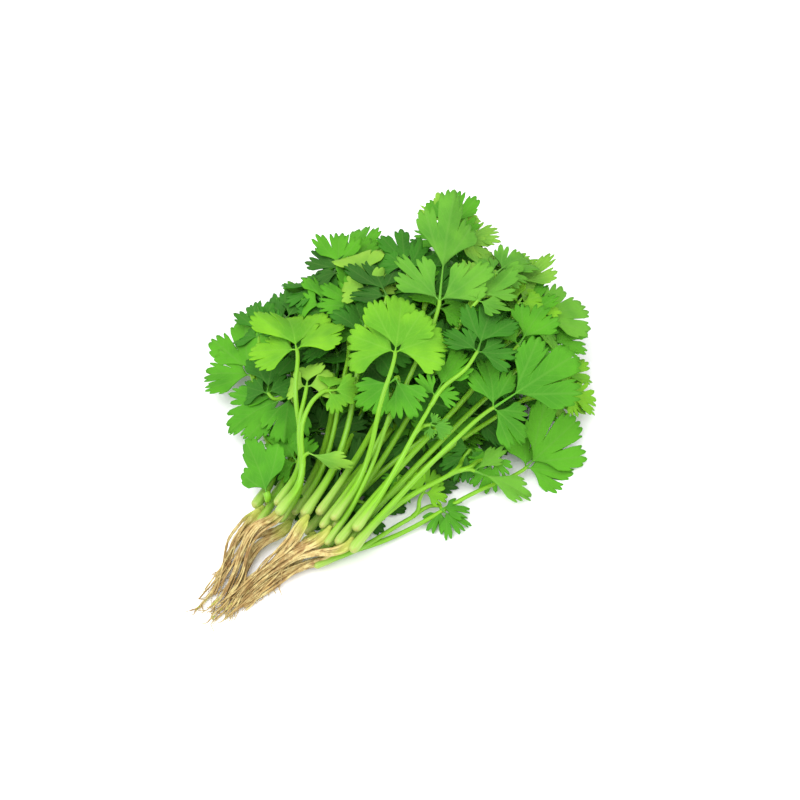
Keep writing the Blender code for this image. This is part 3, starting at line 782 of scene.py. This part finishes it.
def turned(axes, angle):
    """The blade's axes turned round its up axis by the angle in degrees."""
    along, across, up = axes
    c, s = math.cos(math.radians(angle)), math.sin(math.radians(angle))
    return along * c + across * s, across * c - along * s, up


def rocked(axes, roll, pitch):
    """The axes rolled round along and then pitched round across, by angles in radians."""
    along, across, up = axes
    across, up = across * math.cos(roll) + up * math.sin(roll), up * math.cos(roll) - across * math.sin(roll)
    along, up = along * math.cos(pitch) + up * math.sin(pitch), up * math.cos(pitch) - along * math.sin(pitch)
    return along, across, up


def blade_patches(leaf, settings, rows, draw):
    """The leaflets of one leaf, each with a rib that runs from the node along its midrib."""
    node, tip = np.array(leaf.node, float), np.array(leaf.tip, float)
    axes = blade_frame(node, tip)
    reach = np.linalg.norm(tip - node)
    end_length = reach * (1 - leaf.stalklet)
    form = FORMS[leaf.form]
    tone = draw.uniform(-1, 1)
    patches = []
    for side in (*leaf.sides, 0):
        mine = turned(axes, leaf.side_angle * side + draw.uniform(-SIDE_SWAY, SIDE_SWAY))
        mine = rocked(mine, draw.normal(0, ROLL), draw.normal(0, PITCH))
        start = SIDE_STALKLET if side else reach * leaf.stalklet
        length = end_length * leaf.side_share if side else end_length
        base = node + mine[0] * start
        margin = leaflet_margin(form, length, settings, draw)
        surface, grain = leaflet_surface(form, length, base, mine, margin, rows, draw)
        patches.append(sheet(surface, settings.thickness / MM, grain, tone, (0, 1)))
        middle = surface[:, surface.shape[1] // 2]
        under = middle[1:rows:2] - mine[2] * RIB_SINK
        rib = over_floor(smooth_path((node, (node + base) / 2, base, *under), RIB_STEPS), RIB_GAP)
        radii = np.interp(np.linspace(0, 1, len(rib)), RIB_SHARES, RIB_RADII)
        patches.append(tubes(rib[None], radii[None], RIB_SIDES, tone, slot=2))
    return patches


# ---------------------------------------------------------------------------------------------------------
# Roots
# ---------------------------------------------------------------------------------------------------------

# A taproot's way
ROOT_START = 4.0           # it starts this far in front of its crown, among the feet of the stalks,
ROOT_STRAIGHT = 7.0        # and is straight for this length
ROOT_KNOTS = 6
ROOT_STEPS = 9             # points for each span between them
ROOT_FALL = 1.6            # above 1, roots come down to the surface early,
ROOT_GATHER = 2.0          # and come together early
ROOT_SWAY = 1.2            # how far it bends to each side
ROOT_PARTING = -17.0       # Y between the two halves that the roots part into behind their crowns,
PARTING_SHIFT = 6.0        # how far the roots beside it are pushed away from it,
PARTING_FADE = 15          # and the distance over which that fades for those further off
PARTING_BUMP = 9.5         # makes the highest value of the parting's curve 1

# Its thickness, as parts of its crown's radius
ROOT_SHARES = (0, 0.07, 0.14, 0.25, 0.45, 0.65, 0.85, 1)
ROOT_PARTS = (0.40, 1.0, 0.92, 0.72, 0.60, 0.45, 0.30, 0.12)
KNOBS = 30                 # swellings and waists along it,
KNOB_SIZES = (-0.14, 0.16) # and how much they add to the radius, as a part of it
ROOT_SIDES = 14
ROOT_RIBS = (4, 0.10)      # number of ribs and their depth, as a part of the radius

# The side roots along it. A pair is the range of a random value.
SIDE_STARTS = (0.0, 0.06)  # where they leave it and end, as shares of its length
SIDE_ENDS = (0.80, 1.0)
SIDE_TWIST = 3.0           # how far they wind round it either way, radians
SIDE_OFFSETS = (1.2, 4.0)  # how far from its middle they run, mm,
SIDE_LEAVING = 0.08        # reached over about this share of their length
SIDE_SPREAD = (0.0, 1.6)   # how much further out they end
SIDE_WAVE = 0.5            # how high their waves are, mm,
SIDE_WAVES = (7, 16)       # how many they make, in radians along their length,
SIDE_PHASE = 6             # and the furthest that the first one may be shifted, radians
SIDE_FLATNESS = 0.8        # height of the strand of roots against its width at the crown,
SIDE_FLATTENING = 0.5      # and how much of that it loses to the tip
SIDE_GAP = 0.9             # least height of their middles over the floor, mm
SIDE_RADII = (0.55, 1.15)  # at the start, mm
SIDE_TAPER = 0.42          # the radius at the tip, as a part of that at the start
SIDE_UNEVEN = 0.12         # how much the radius varies from point to point, as a part of it
SIDE_POINTS = 26
SIDE_SIDES = 9
SIDE_RIBS = (3, 0.08)

# The fine roots on it
FINE_STARTS = (0.50, 0.98) # where they leave it, as shares of its length
FINE_LENGTHS = (5, 15)     # mm
FINE_SHORTER = (1.1, 0.45) # factor of their length at the crown, and how much it falls to the tip
FINE_SPREAD = 0.5          # how far they go aside, as a part of their length,
FINE_SIDEWAYS = 0.25       # and how much shorter that makes them
FINE_WAVE = (0.3, 1.2)     # how high their waves are, mm,
FINE_WAVES = (4, 11)       # how many they make, in radians along their length,
FINE_PHASE = 6.3           # and the furthest that the first one may be shifted, radians
FINE_REST = (0.5, 3.0)     # height that they come down to, mm,
FINE_LIFT = 0.5            # and how much they rise and fall on the way there, mm
FINE_GAP = 0.4             # least height of their middles over the floor, mm
FINE_RADII = (0.20, 0.50)  # at the start, mm
FINE_TAPER = 0.35          # the radius at the tip, as a part of that at the start
FINE_POINTS = 10
FINE_SIDES = 5


def root_path(crown, tip, steps):
    """Points from a crown to its root tip: straight at first, then down to the surface in a gentle S.

    With p from 0 to 1, the height falls with (1 - p)^ROOT_FALL and Y nears the tip's with
    (1 - p)^ROOT_GATHER, plus a sine wave for the sway. The two halves of the roots are parted by a bump
    p * (1 - p)^3, highest at a quarter of the way.
    """
    top = np.array((CROWN_X, *crown), float)
    top[0] += ROOT_START
    start = top - np.array((ROOT_STRAIGHT, 0, 0))
    end = np.array(tip, float)
    part = np.linspace(0, 1, ROOT_KNOTS)
    knots = start + (end - start) * part[:, None]
    knots[:, 2] = end[2] + (start[2] - end[2]) * (1 - part) ** ROOT_FALL
    knots[:, 1] = end[1] + (start[1] - end[1]) * (1 - part) ** ROOT_GATHER
    knots[:, 1] += ROOT_SWAY * np.sin(2 * np.pi * part)
    aside = crown[0] - ROOT_PARTING
    shift = PARTING_SHIFT * np.sign(aside) * np.exp(-abs(aside) / PARTING_FADE)
    knots[:, 1] += shift * PARTING_BUMP * part * (1 - part) ** 3
    return smooth_path(np.vstack((top, knots)), steps)


def side_root_paths(main, count, draw):
    """Side roots that run along the main root and wind round it.

    place(s) = main(s) + offset(s) * (0, cos a(s), flat(s) * sin a(s)), where the angle a turns evenly. The
    offset is o * (1 - e^(-s / SIDE_LEAVING)) + spread * s, with a sine wave, and flat falls evenly.
    """
    share, _ = along_path(main)
    s = np.linspace(0, 1, SIDE_POINTS)[None, :]
    each = (count, 1)
    start = draw.uniform(*SIDE_STARTS, each)
    end = draw.uniform(*SIDE_ENDS, each)
    at = start + (end - start) * s
    place = np.stack([np.interp(at, share, main[:, axis]) for axis in range(3)], axis=-1)
    angle = draw.uniform(0, ANY_TURN, each) + draw.uniform(-SIDE_TWIST, SIDE_TWIST, each) * s
    offset = draw.uniform(*SIDE_OFFSETS, each) * (1 - np.exp(-s / SIDE_LEAVING))
    offset = offset + draw.uniform(*SIDE_SPREAD, each) * s
    wave = np.sin(s * draw.uniform(*SIDE_WAVES, each) + draw.uniform(0, SIDE_PHASE, each))
    offset = offset + SIDE_WAVE * wave
    place[..., 1] += offset * np.cos(angle)
    place[..., 2] += SIDE_FLATNESS * offset * np.sin(angle) * (1 - SIDE_FLATTENING * s)
    return over_floor(place, SIDE_GAP)


def fine_root_paths(main, count, draw):
    """Fine roots that leave the main root between its middle and its tip.

    Each starts on the main root, runs on along X and aside, and comes down to just over the surface: with s
    from 0 to 1, it goes back by length * s and aside by length * spread * s^1.5 with a wave, and its height
    falls to its rest with (1 - s)^1.7.
    """
    share, _ = along_path(main)
    each = (count, 1)
    at = np.sort(draw.uniform(*FINE_STARTS, count))
    start = np.stack([np.interp(at, share, main[:, axis]) for axis in range(3)], axis=1)
    length = draw.uniform(*FINE_LENGTHS, count) * (FINE_SHORTER[0] - FINE_SHORTER[1] * at)
    spread = draw.uniform(-FINE_SPREAD, FINE_SPREAD, count)
    s = np.linspace(0, 1, FINE_POINTS)[None, :]
    wave = draw.uniform(*FINE_WAVE, each)
    wave = wave * np.sin(s * draw.uniform(*FINE_WAVES, each) + draw.uniform(0, FINE_PHASE, each)) * s
    x = start[:, :1] - length[:, None] * s * (1 - FINE_SIDEWAYS * abs(spread[:, None]))
    y = start[:, 1:2] + (length * spread)[:, None] * s ** 1.5 + wave
    rest = draw.uniform(*FINE_REST, each)
    z = rest + (start[:, 2:] - rest) * (1 - s) ** 1.7
    z = z + FINE_LIFT * draw.uniform(0, 1, each) * np.sin(np.pi * s * 2) * s
    return over_floor(np.stack((x, y, z), axis=-1), FINE_GAP)


def root_patches(crown, tip, settings, draw):
    """A knobbly taproot, the side roots along it, and its fine roots."""
    path = root_path(crown, tip, ROOT_STEPS)
    share, _ = along_path(path)
    radii = np.interp(share, ROOT_SHARES, np.array(ROOT_PARTS) * settings.crown_radius / MM)
    radii = radii * (1 + np.interp(share * KNOBS, np.arange(KNOBS + 1), draw.uniform(*KNOB_SIZES, KNOBS + 1)))
    tone = draw.uniform(-1, 1)
    side = side_root_paths(path, settings.side_roots, draw)
    side_radii = draw.uniform(*SIDE_RADII, (len(side), 1)) * np.linspace(1, SIDE_TAPER, side.shape[1])
    side_radii = side_radii * (1 + draw.uniform(-SIDE_UNEVEN, SIDE_UNEVEN, side_radii.shape))
    fine = fine_root_paths(path, settings.fine_roots, draw)
    fine_radii = draw.uniform(*FINE_RADII, (len(fine), 1)) * np.linspace(1, FINE_TAPER, fine.shape[1])
    return [tubes(path[None], radii[None], ROOT_SIDES, tone, ROOT_RIBS),
            tubes(side, side_radii, SIDE_SIDES, tone, SIDE_RIBS),
            tubes(fine, fine_radii, FINE_SIDES, tone)]


# ---------------------------------------------------------------------------------------------------------
# Materials
# ---------------------------------------------------------------------------------------------------------

# Tints that the greens and browns of the settings are mixed with, in linear values
VEIN_TINT = (0.30, 0.46, 0.12)
UNDER_TINT = (0.22, 0.38, 0.12)
RIB_TINT = (0.18, 0.46, 0.02)
FOOT_END_TINT = (0.44, 0.36, 0.12)    # the very end of a stalk's foot
ROOT_TOP_TINT = (0.38, 0.46, 0.07)    # where a root comes out of the feet
# Painted shade: a darker copy of the stalk green for the stalks inside the heap of leaves.
INNER_SHADE_GREEN = (0.045, 0.200, 0.006)   # stalks of the leaves that fill the heap
FLOOR_WHITES = ((0.93, 0.93, 0.93), (0.95, 0.95, 0.95))
DARK_GREEN = (0.50, 0.68, 0.60)       # a leaf's darkest and lightest skin, as parts of its colour
LIGHT_GREEN = (1.55, 1.25, 1.20)
SIDE_VEINS = (9.0, 1.5)    # number in a leaflet's length, and how steeply they slant to the margin
UPPER_FACE = (0.03, -0.03, (0.46, 0.60))      # how pale and how high veins are, and the skin's roughness
UNDER_FACE = (0.35, 0.5, (0.58, 0.70))


class Nodes:
    """A material's node tree, with short calls for the nodes that the finishes here use.

    Each call takes numbers, colours or the outputs of other nodes, and returns its node's output.
    """

    def __init__(self, name):
        self.material = bpy.data.materials.new(name)
        self.material.use_nodes = True
        self.tree = self.material.node_tree
        self.shader = self.tree.nodes["Principled BSDF"]
        self.output = self.tree.nodes["Material Output"]

    def link(self, source, target):
        self.tree.links.new(source, target)

    def add(self, kind, **settings):
        node = self.tree.nodes.new(kind)
        for key, value in settings.items():
            setattr(node, key, value)
        return node

    def feed(self, sockets, values):
        """Gives each socket its value: a number, a colour or another node's output."""
        for socket, value in zip(sockets, values):
            if isinstance(value, (int, float)):
                socket.default_value = value
            elif isinstance(value, tuple):
                socket.default_value = (*value, 1.0)
            else:
                self.link(value, socket)

    def math(self, operation, *values):
        node = self.add("ShaderNodeMath", operation=operation)
        self.feed(node.inputs, values)
        return node.outputs[0]

    def grain(self):
        """The three numbers of the piece's grain. On a leaflet they are the angle from the nearest vein, the
        distance from its base and the share of the way to its margin. On a stalk or root they are the
        cosine and sine of the way round it, and the share of the way along it."""
        node = self.add("ShaderNodeSeparateXYZ")
        self.link(self.add("ShaderNodeAttribute", attribute_name="grain").outputs["Vector"], node.inputs[0])
        return node.outputs

    def tone(self):
        """A number from -1 to 1 that differs from leaf to leaf, from stalk to stalk and from root to root."""
        return self.add("ShaderNodeAttribute", attribute_name="tone").outputs["Fac"]

    def streaks(self, grain, length, scale, detail, roughness=0.5):
        """Noise drawn out along a stalk or root, whose whole length it crosses in as many units."""
        node = self.add("ShaderNodeCombineXYZ")
        self.feed(node.inputs, (grain[0], grain[1], self.math("MULTIPLY", grain[2], length)))
        return self.noise(node.outputs[0], scale, detail, roughness)

    def place(self, scale=(1, 1, 1)):
        """The place on the object in metres, times a factor for each axis."""
        mapping = self.add("ShaderNodeMapping")
        mapping.inputs["Scale"].default_value = scale
        self.link(self.add("ShaderNodeTexCoord").outputs["Object"], mapping.inputs["Vector"])
        return mapping.outputs[0]

    def noise(self, vector, scale, detail=3.0, roughness=0.5):
        """Soft noise around 0.5, with about as many lumps to a unit of the vector as the scale says."""
        node = self.add("ShaderNodeTexNoise")
        node.inputs["Scale"].default_value = scale
        node.inputs["Detail"].default_value = detail
        node.inputs["Roughness"].default_value = roughness
        self.link(vector, node.inputs["Vector"])
        return node.outputs["Fac"]

    def span(self, value, low, high, to_low=0.0, to_high=1.0):
        """The value, from low to high, turned smoothly into a range of its own."""
        node = self.add("ShaderNodeMapRange", interpolation_type="SMOOTHSTEP")
        for key, number in (("From Min", low), ("From Max", high), ("To Min", to_low), ("To Max", to_high)):
            node.inputs[key].default_value = number
        self.link(value, node.inputs["Value"])
        return node.outputs[0]

    def mix(self, factor, first, second):
        """The first colour where the factor is 0, and the second where it is 1."""
        node = self.add("ShaderNodeMix", data_type="RGBA", clamp_factor=True)
        self.feed((node.inputs[0], node.inputs[6], node.inputs[7]), (factor, first, second))
        return node.outputs[2]

    def bump(self, height, strength, distance, normal=None):
        """The normal of a surface that rises by the height times the distance in metres."""
        node = self.add("ShaderNodeBump")
        node.inputs["Strength"].default_value = strength
        node.inputs["Distance"].default_value = distance
        self.link(height, node.inputs["Height"])
        if normal is not None:
            self.link(normal, node.inputs["Normal"])
        return node.outputs[0]

    def finish(self, colour, roughness, specular, normal):
        """Sets the shader's sockets, and returns the material."""
        self.feed([self.shader.inputs[key] for key in ("Base Color", "Roughness", "Specular IOR Level")],
                  (colour, roughness, specular))
        if normal is not None:
            self.link(normal, self.shader.inputs["Normal"])
        return self.material

    def glow_through(self, colour, share, normal):
        """Mixes in light that comes through from behind."""
        through = self.add("ShaderNodeBsdfTranslucent")
        self.link(colour, through.inputs["Color"])
        self.link(normal, through.inputs["Normal"])
        both = self.add("ShaderNodeMixShader")
        both.inputs[0].default_value = share
        self.link(self.shader.outputs[0], both.inputs[1])
        self.link(through.outputs[0], both.inputs[2])
        self.link(both.outputs[0], self.output.inputs["Surface"])


def scaled(colour, factor):
    """A colour made darker or lighter, never past 1."""
    return tuple(min(channel * factor, 1.0) for channel in colour)


def blended(first, second, share):
    """A colour between two colours."""
    return tuple(a + (b - a) * share for a, b in zip(first, second))


def vein_mask(nodes, grain):
    """1 on a leaflet's veins. The lobes' veins are where the angle from them is 0, and finer veins leave
    them at even steps and slant up to the margin."""
    away, radius, share = grain
    across = nodes.math("ABSOLUTE", nodes.math("MULTIPLY", radius, away))
    main = nodes.span(across, 0.006, 0.022, 1.0, 0.0)
    count, slant = SIDE_VEINS
    slanted = nodes.math("SUBTRACT", radius, nodes.math("MULTIPLY", across, slant))
    steps = nodes.math("MULTIPLY", slanted, count)
    off = nodes.math("ABSOLUTE", nodes.math("SUBTRACT", steps, nodes.math("ROUND", steps)))
    fading = nodes.span(share, 0.75, 1.0, 1.0, 0.0)
    fine = nodes.math("MULTIPLY", nodes.span(off, 0.04, 0.13, 0.6, 0.0), fading)
    return nodes.math("MAXIMUM", main, fine)


def leaf_material(name, colour, under):
    """Leaf skin: a soft green that varies over the bunch, with painted light that makes each leaflet lighter
    towards its margin than at its base, paler veins, a satin upper face or a dull under face, and light that
    comes through."""
    nodes = Nodes(name)
    grain = nodes.grain()
    place = nodes.place()
    veins = vein_mask(nodes, grain)
    broad = nodes.noise(place, 55.0, 2.0)
    fine = nodes.noise(place, 420.0, 4.0, 0.6)
    cells = nodes.add("ShaderNodeTexVoronoi", feature="DISTANCE_TO_EDGE")
    cells.inputs["Scale"].default_value = 900.0
    nodes.link(place, cells.inputs["Vector"])
    dark = tuple(channel * part for channel, part in zip(colour, DARK_GREEN))
    light = tuple(channel * part for channel, part in zip(colour, LIGHT_GREEN))
    paleness, rise, roughness = UNDER_FACE if under else UPPER_FACE

    patchy = nodes.math("ADD", broad, nodes.math("MULTIPLY", nodes.tone(), 0.16))
    green = nodes.mix(nodes.span(patchy, 0.30, 0.72), dark, light)
    # Painted light and shade: lighter towards the leaflet's margin, darker at its base.
    green = nodes.mix(nodes.span(grain[2], 0.40, 1.0, 0.0, 0.45), green, scaled(light, 1.08))
    green = nodes.mix(nodes.span(fine, 0.35, 0.75, 0.0, 0.16), green, scaled(colour, 0.62))
    pale = blended(colour, VEIN_TINT, 0.35)
    green = nodes.mix(nodes.math("MULTIPLY", veins, paleness), green, pale)
    if under:
        green = nodes.mix(0.35, green, blended(colour, UNDER_TINT, 0.45))
    height = nodes.math("ADD", nodes.math("MULTIPLY", veins, rise),
                        nodes.math("MULTIPLY", nodes.span(cells.outputs["Distance"], 0.0, 0.25), 0.35))
    normal = nodes.bump(broad, 0.25, 0.0012, nodes.bump(height, 0.30, 0.00022))
    nodes.glow_through(nodes.mix(0.5, green, scaled(colour, 1.8)), 0.22, normal)
    return nodes.finish(green, nodes.span(fine, 0.3, 0.7, *roughness), 0.03, normal)


def stalk_material(name, foot, colour):
    """Stalk skin: long streaks in green, and blanched at the foot, where share is near 0."""
    nodes = Nodes(name)
    grain = nodes.grain()
    share = grain[2]
    streaks = nodes.streaks(grain, 1.2, 3.2, 3.0)
    fine = nodes.noise(nodes.place(), 500.0, 3.0)
    green = nodes.mix(nodes.span(streaks, 0.32, 0.70), scaled(colour, 0.80), scaled(colour, 1.22))
    green = nodes.mix(nodes.span(nodes.tone(), -1.0, 1.0, 0.0, 0.35), green, scaled(colour, 0.72))
    base = nodes.mix(nodes.span(streaks, 0.35, 0.65), foot, blended(foot, colour, 0.4))
    reach = nodes.math("ADD", share, nodes.math("MULTIPLY", streaks, 0.10))
    green = nodes.mix(nodes.span(reach, 0.06, 0.30), base, green)
    if foot != colour:
        green = nodes.mix(nodes.span(reach, 0.040, 0.080, 0.65, 0.0), green, FOOT_END_TINT)
    green = nodes.mix(nodes.span(share, 0.60, 1.0, 0.0, 0.4), green, scaled(colour, 0.75))
    normal = nodes.bump(streaks, 0.35, 0.0005)
    nodes.glow_through(green, 0.18, normal)
    return nodes.finish(green, nodes.span(fine, 0.3, 0.7, 0.30, 0.44), 0.42, normal)


def root_material(name, settings):
    """Root skin: streaked tan and straw with weathered patches and dark lines, green where it comes out of
    the stalks' feet."""
    nodes = Nodes(name)
    grain = nodes.grain()
    streaks = nodes.noise(nodes.place((0.35, 1.0, 1.0)), 420.0, 4.0, 0.6)
    patches = nodes.noise(nodes.place((0.22, 0.8, 1.0)), 300.0, 3.0, 0.6)
    wrinkles = nodes.noise(nodes.place((1.6, 0.6, 0.6)), 620.0, 3.0, 0.6)
    lines = nodes.streaks(grain, 5.0, 1.6, 4.0, 0.6)
    tan, brown, straw = (tuple(value) for value in (settings.tan, settings.brown, settings.straw))
    skin = nodes.mix(nodes.span(streaks, 0.36, 0.66), tan, straw)
    worn = nodes.math("ADD", patches, nodes.math("MULTIPLY", nodes.tone(), 0.05))
    skin = nodes.mix(nodes.span(worn, 0.50, 0.66, 0.0, 0.60), skin, brown)
    skin = nodes.mix(nodes.span(wrinkles, 0.55, 0.75, 0.0, 0.45), skin, scaled(brown, 0.8))
    skin = nodes.mix(nodes.span(lines, 0.49, 0.60, 0.0, 0.90), skin, scaled(brown, 0.75))
    skin = nodes.mix(nodes.span(grain[2], 0.02, 0.26, 0.92, 0.0), skin, ROOT_TOP_TINT)
    normal = nodes.bump(streaks, 0.6, 0.0006, nodes.bump(wrinkles, 0.6, 0.0006))
    return nodes.finish(skin, nodes.span(streaks, 0.3, 0.7, 0.62, 0.85), 0.25, normal)


def floor_material(name):
    """A plain matt white surface with the faintest unevenness."""
    nodes = Nodes(name)
    return nodes.finish(nodes.mix(nodes.noise(nodes.place(), 6.0, 2.0), *FLOOR_WHITES), 0.9, 0.1, None)


def leaf_materials(settings, green):
    """The upper face, under face and rib materials of one green, made once."""
    colour = tuple(getattr(settings, green))
    names = (f"leaf_{green}_upper", f"leaf_{green}_under", f"leaf_{green}_rib")
    if names[0] not in bpy.data.materials:
        leaf_material(names[0], colour, under=False)
        leaf_material(names[1], colour, under=True)
        rib = blended(colour, RIB_TINT, 0.30)
        stalk_material(names[2], rib, rib)
    return [bpy.data.materials[name] for name in names]


# ---------------------------------------------------------------------------------------------------------
# Operators
# ---------------------------------------------------------------------------------------------------------


class OBJECT_OT_coriander_roots(Operator):
    """Make the taproots with their fine roots"""
    bl_idname = "object.coriander_roots"
    bl_label = "Roots"

    def execute(self, context):
        settings = context.scene.coriander_roots
        skin = root_material("root_skin", settings)
        for number, (crown, tip) in enumerate(PLANTS, 1):
            patches = root_patches(crown, tip, settings, draws("root", number))
            add_part(f"taproot_{number}", patches, [skin], f"root_{number}")
        return {"FINISHED"}


class OBJECT_OT_coriander_stalks(Operator):
    """Make the stalks of the leaves"""
    bl_idname = "object.coriander_stalks"
    bl_label = "Stalks"

    def execute(self, context):
        settings = context.scene.coriander_stalks
        green = tuple(settings.green)
        skin = stalk_material("stalk_skin", tuple(settings.cream), green)
        for number, leaf in enumerate(LEAVES, 1):
            patch = leaf_stalk(leaf, settings, draws("stalk", number))
            add_part(f"stalk_{number:02d}", [patch], [skin], f"petiole_{number:02d}")
        skin = stalk_material("branch_skin", green, green)
        for number, young in enumerate(YOUNG_LEAVES, 1):
            patch = young_stalk(young, draws("young stalk", number))
            add_part(f"young_stalk_{number:02d}", [patch], [skin])
        # The stalks inside the heap take a dark green as painted shade.
        skin = stalk_material("inner_stalk_skin", INNER_SHADE_GREEN, INNER_SHADE_GREEN)
        for number, layer in enumerate(LAYERS, 1):
            leaves = layer_leaves(layer, draws("layer", number))
            patch = inner_stalks(layer, leaves, draws("inner stalks", number))
            add_part(f"inner_stalks_{number}", [patch], [skin])
        return {"FINISHED"}


class OBJECT_OT_coriander_leaves(Operator):
    """Make the leaf blades"""
    bl_idname = "object.coriander_leaves"
    bl_label = "Leaves"

    def execute(self, context):
        settings = context.scene.coriander_leaves
        for number, leaf in enumerate(LEAVES, 1):
            patches = blade_patches(leaf, settings, settings.rows, draws("leaf", number))
            skins = leaf_materials(settings, leaf.green)
            add_part(f"blade_{number:02d}", patches, skins, f"leaf_{number:02d}")
        for number, young in enumerate(YOUNG_LEAVES, 1):
            patches = blade_patches(young, settings, settings.rows, draws("young leaf", number))
            add_part(f"young_blade_{number:02d}", patches, leaf_materials(settings, young.green))
        for number, layer in enumerate(LAYERS, 1):
            draw = draws("inner leaves", number)
            leaves = layer_leaves(layer, draws("layer", number))
            for green in sorted(set(layer.greens)):
                patches = [patch for leaf in leaves if leaf.green == green
                           for patch in blade_patches(leaf, settings, INNER_ROWS, draw)]
                add_part(f"inner_blades_{number}_{green}", patches, leaf_materials(settings, green))
        return {"FINISHED"}


# The stage, in metres
KEY_PLACE = (-0.55, 0.15, 1.0)
KEY_SIZE = 1.1
FILL_PLACE = (0.3, -0.9, 0.7)
FILL_SIZE = 1.2
FILL_SHARE = 0.35          # of the key light's power
LIGHT_TARGET = (0.0, 0.0, 0.03)
CAMERA_PLACE = (-0.41510, -0.26212, 0.65640)
CAMERA_TARGET = (0.02466, 0.00211, -0.00028)
CAMERA_LENS = 75.0         # mm
CAMERA_SENSOR = 36.0       # mm


class OBJECT_OT_coriander_stage(Operator):
    """Make the floor, the lights and the camera"""
    bl_idname = "object.coriander_stage"
    bl_label = "Stage"

    def execute(self, context):
        settings = context.scene.coriander_stage
        half = settings.floor_size / 2 / MM
        corners = np.array([(x, y, 0.0) for y in (-half, half) for x in (-half, half)]) - LAYOUT_ORIGIN
        patch = Patch(corners, ((np.array([[0, 1, 3, 2]]), 0),), np.zeros((4, 3)), 0.0)
        floor = make_piece("floor", [patch], [floor_material("floor_white")])

        add_light("key_light", KEY_PLACE, KEY_SIZE, settings.key_power)
        add_light("fill_light", FILL_PLACE, FILL_SIZE, FILL_SHARE * settings.key_power)
        world = bpy.data.worlds.new("soft_surround")
        world.use_nodes = True
        surround = world.node_tree.nodes["Background"].inputs
        surround["Color"].default_value = (1, 1, 1, 1)
        surround["Strength"].default_value = settings.ambient
        context.scene.world = world
        context.scene.view_settings.view_transform = "Standard"
        context.scene.view_settings.look = "None"

        lens = bpy.data.cameras.new("camera")
        lens.lens = CAMERA_LENS
        lens.sensor_width = CAMERA_SENSOR
        camera = bpy.data.objects.new("camera", lens)
        context.scene.collection.objects.link(camera)
        aim(camera, CAMERA_PLACE, CAMERA_TARGET)
        context.scene.camera = camera
        return {"FINISHED"}


def aim(thing, place, target):
    """Puts a camera or light at a place, turned towards the target."""
    thing.location = place
    thing.rotation_euler = (Vector(target) - Vector(place)).to_track_quat("-Z", "Y").to_euler()


def add_light(name, place, size, power):
    """A square soft light turned towards the bunch."""
    lamp = bpy.data.lights.new(name, "AREA")
    lamp.shape = "SQUARE"
    lamp.size = size
    lamp.energy = power
    light = bpy.data.objects.new(name, lamp)
    bpy.context.scene.collection.objects.link(light)
    aim(light, place, LIGHT_TARGET)


class VIEW3D_PT_coriander(Panel):
    """The steps that build the bunch, in order."""
    bl_label = "Coriander Bunch"
    bl_idname = "VIEW3D_PT_coriander"
    bl_space_type = "VIEW_3D"
    bl_region_type = "UI"
    bl_category = "Herbs"

    def draw(self, context):
        for step in STEPS:
            self.layout.operator(step.bl_idname)


SETTINGS = {
    "coriander_leaves": CorianderLeafSettings,
    "coriander_stalks": CorianderStalkSettings,
    "coriander_roots": CorianderRootSettings,
    "coriander_stage": CorianderStageSettings,
}
STEPS = (OBJECT_OT_coriander_roots, OBJECT_OT_coriander_stalks, OBJECT_OT_coriander_leaves,
         OBJECT_OT_coriander_stage)


def register():
    """Adds the settings, the steps and the panel."""
    for name, group in SETTINGS.items():
        bpy.utils.register_class(group)
        setattr(bpy.types.Scene, name, PointerProperty(type=group))
    for step in STEPS:
        bpy.utils.register_class(step)
    bpy.utils.register_class(VIEW3D_PT_coriander)


def unregister():
    """Takes the panel, the steps and the settings away again."""
    bpy.utils.unregister_class(VIEW3D_PT_coriander)
    for step in reversed(STEPS):
        bpy.utils.unregister_class(step)
    for name, group in SETTINGS.items():
        delattr(bpy.types.Scene, name)
        bpy.utils.unregister_class(group)


def main():
    """Builds the whole bunch."""
    register()
    bpy.ops.object.coriander_roots()
    bpy.ops.object.coriander_stalks()
    bpy.ops.object.coriander_leaves()
    bpy.ops.object.coriander_stage()
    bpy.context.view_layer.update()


if __name__ == "__main__":
    main()
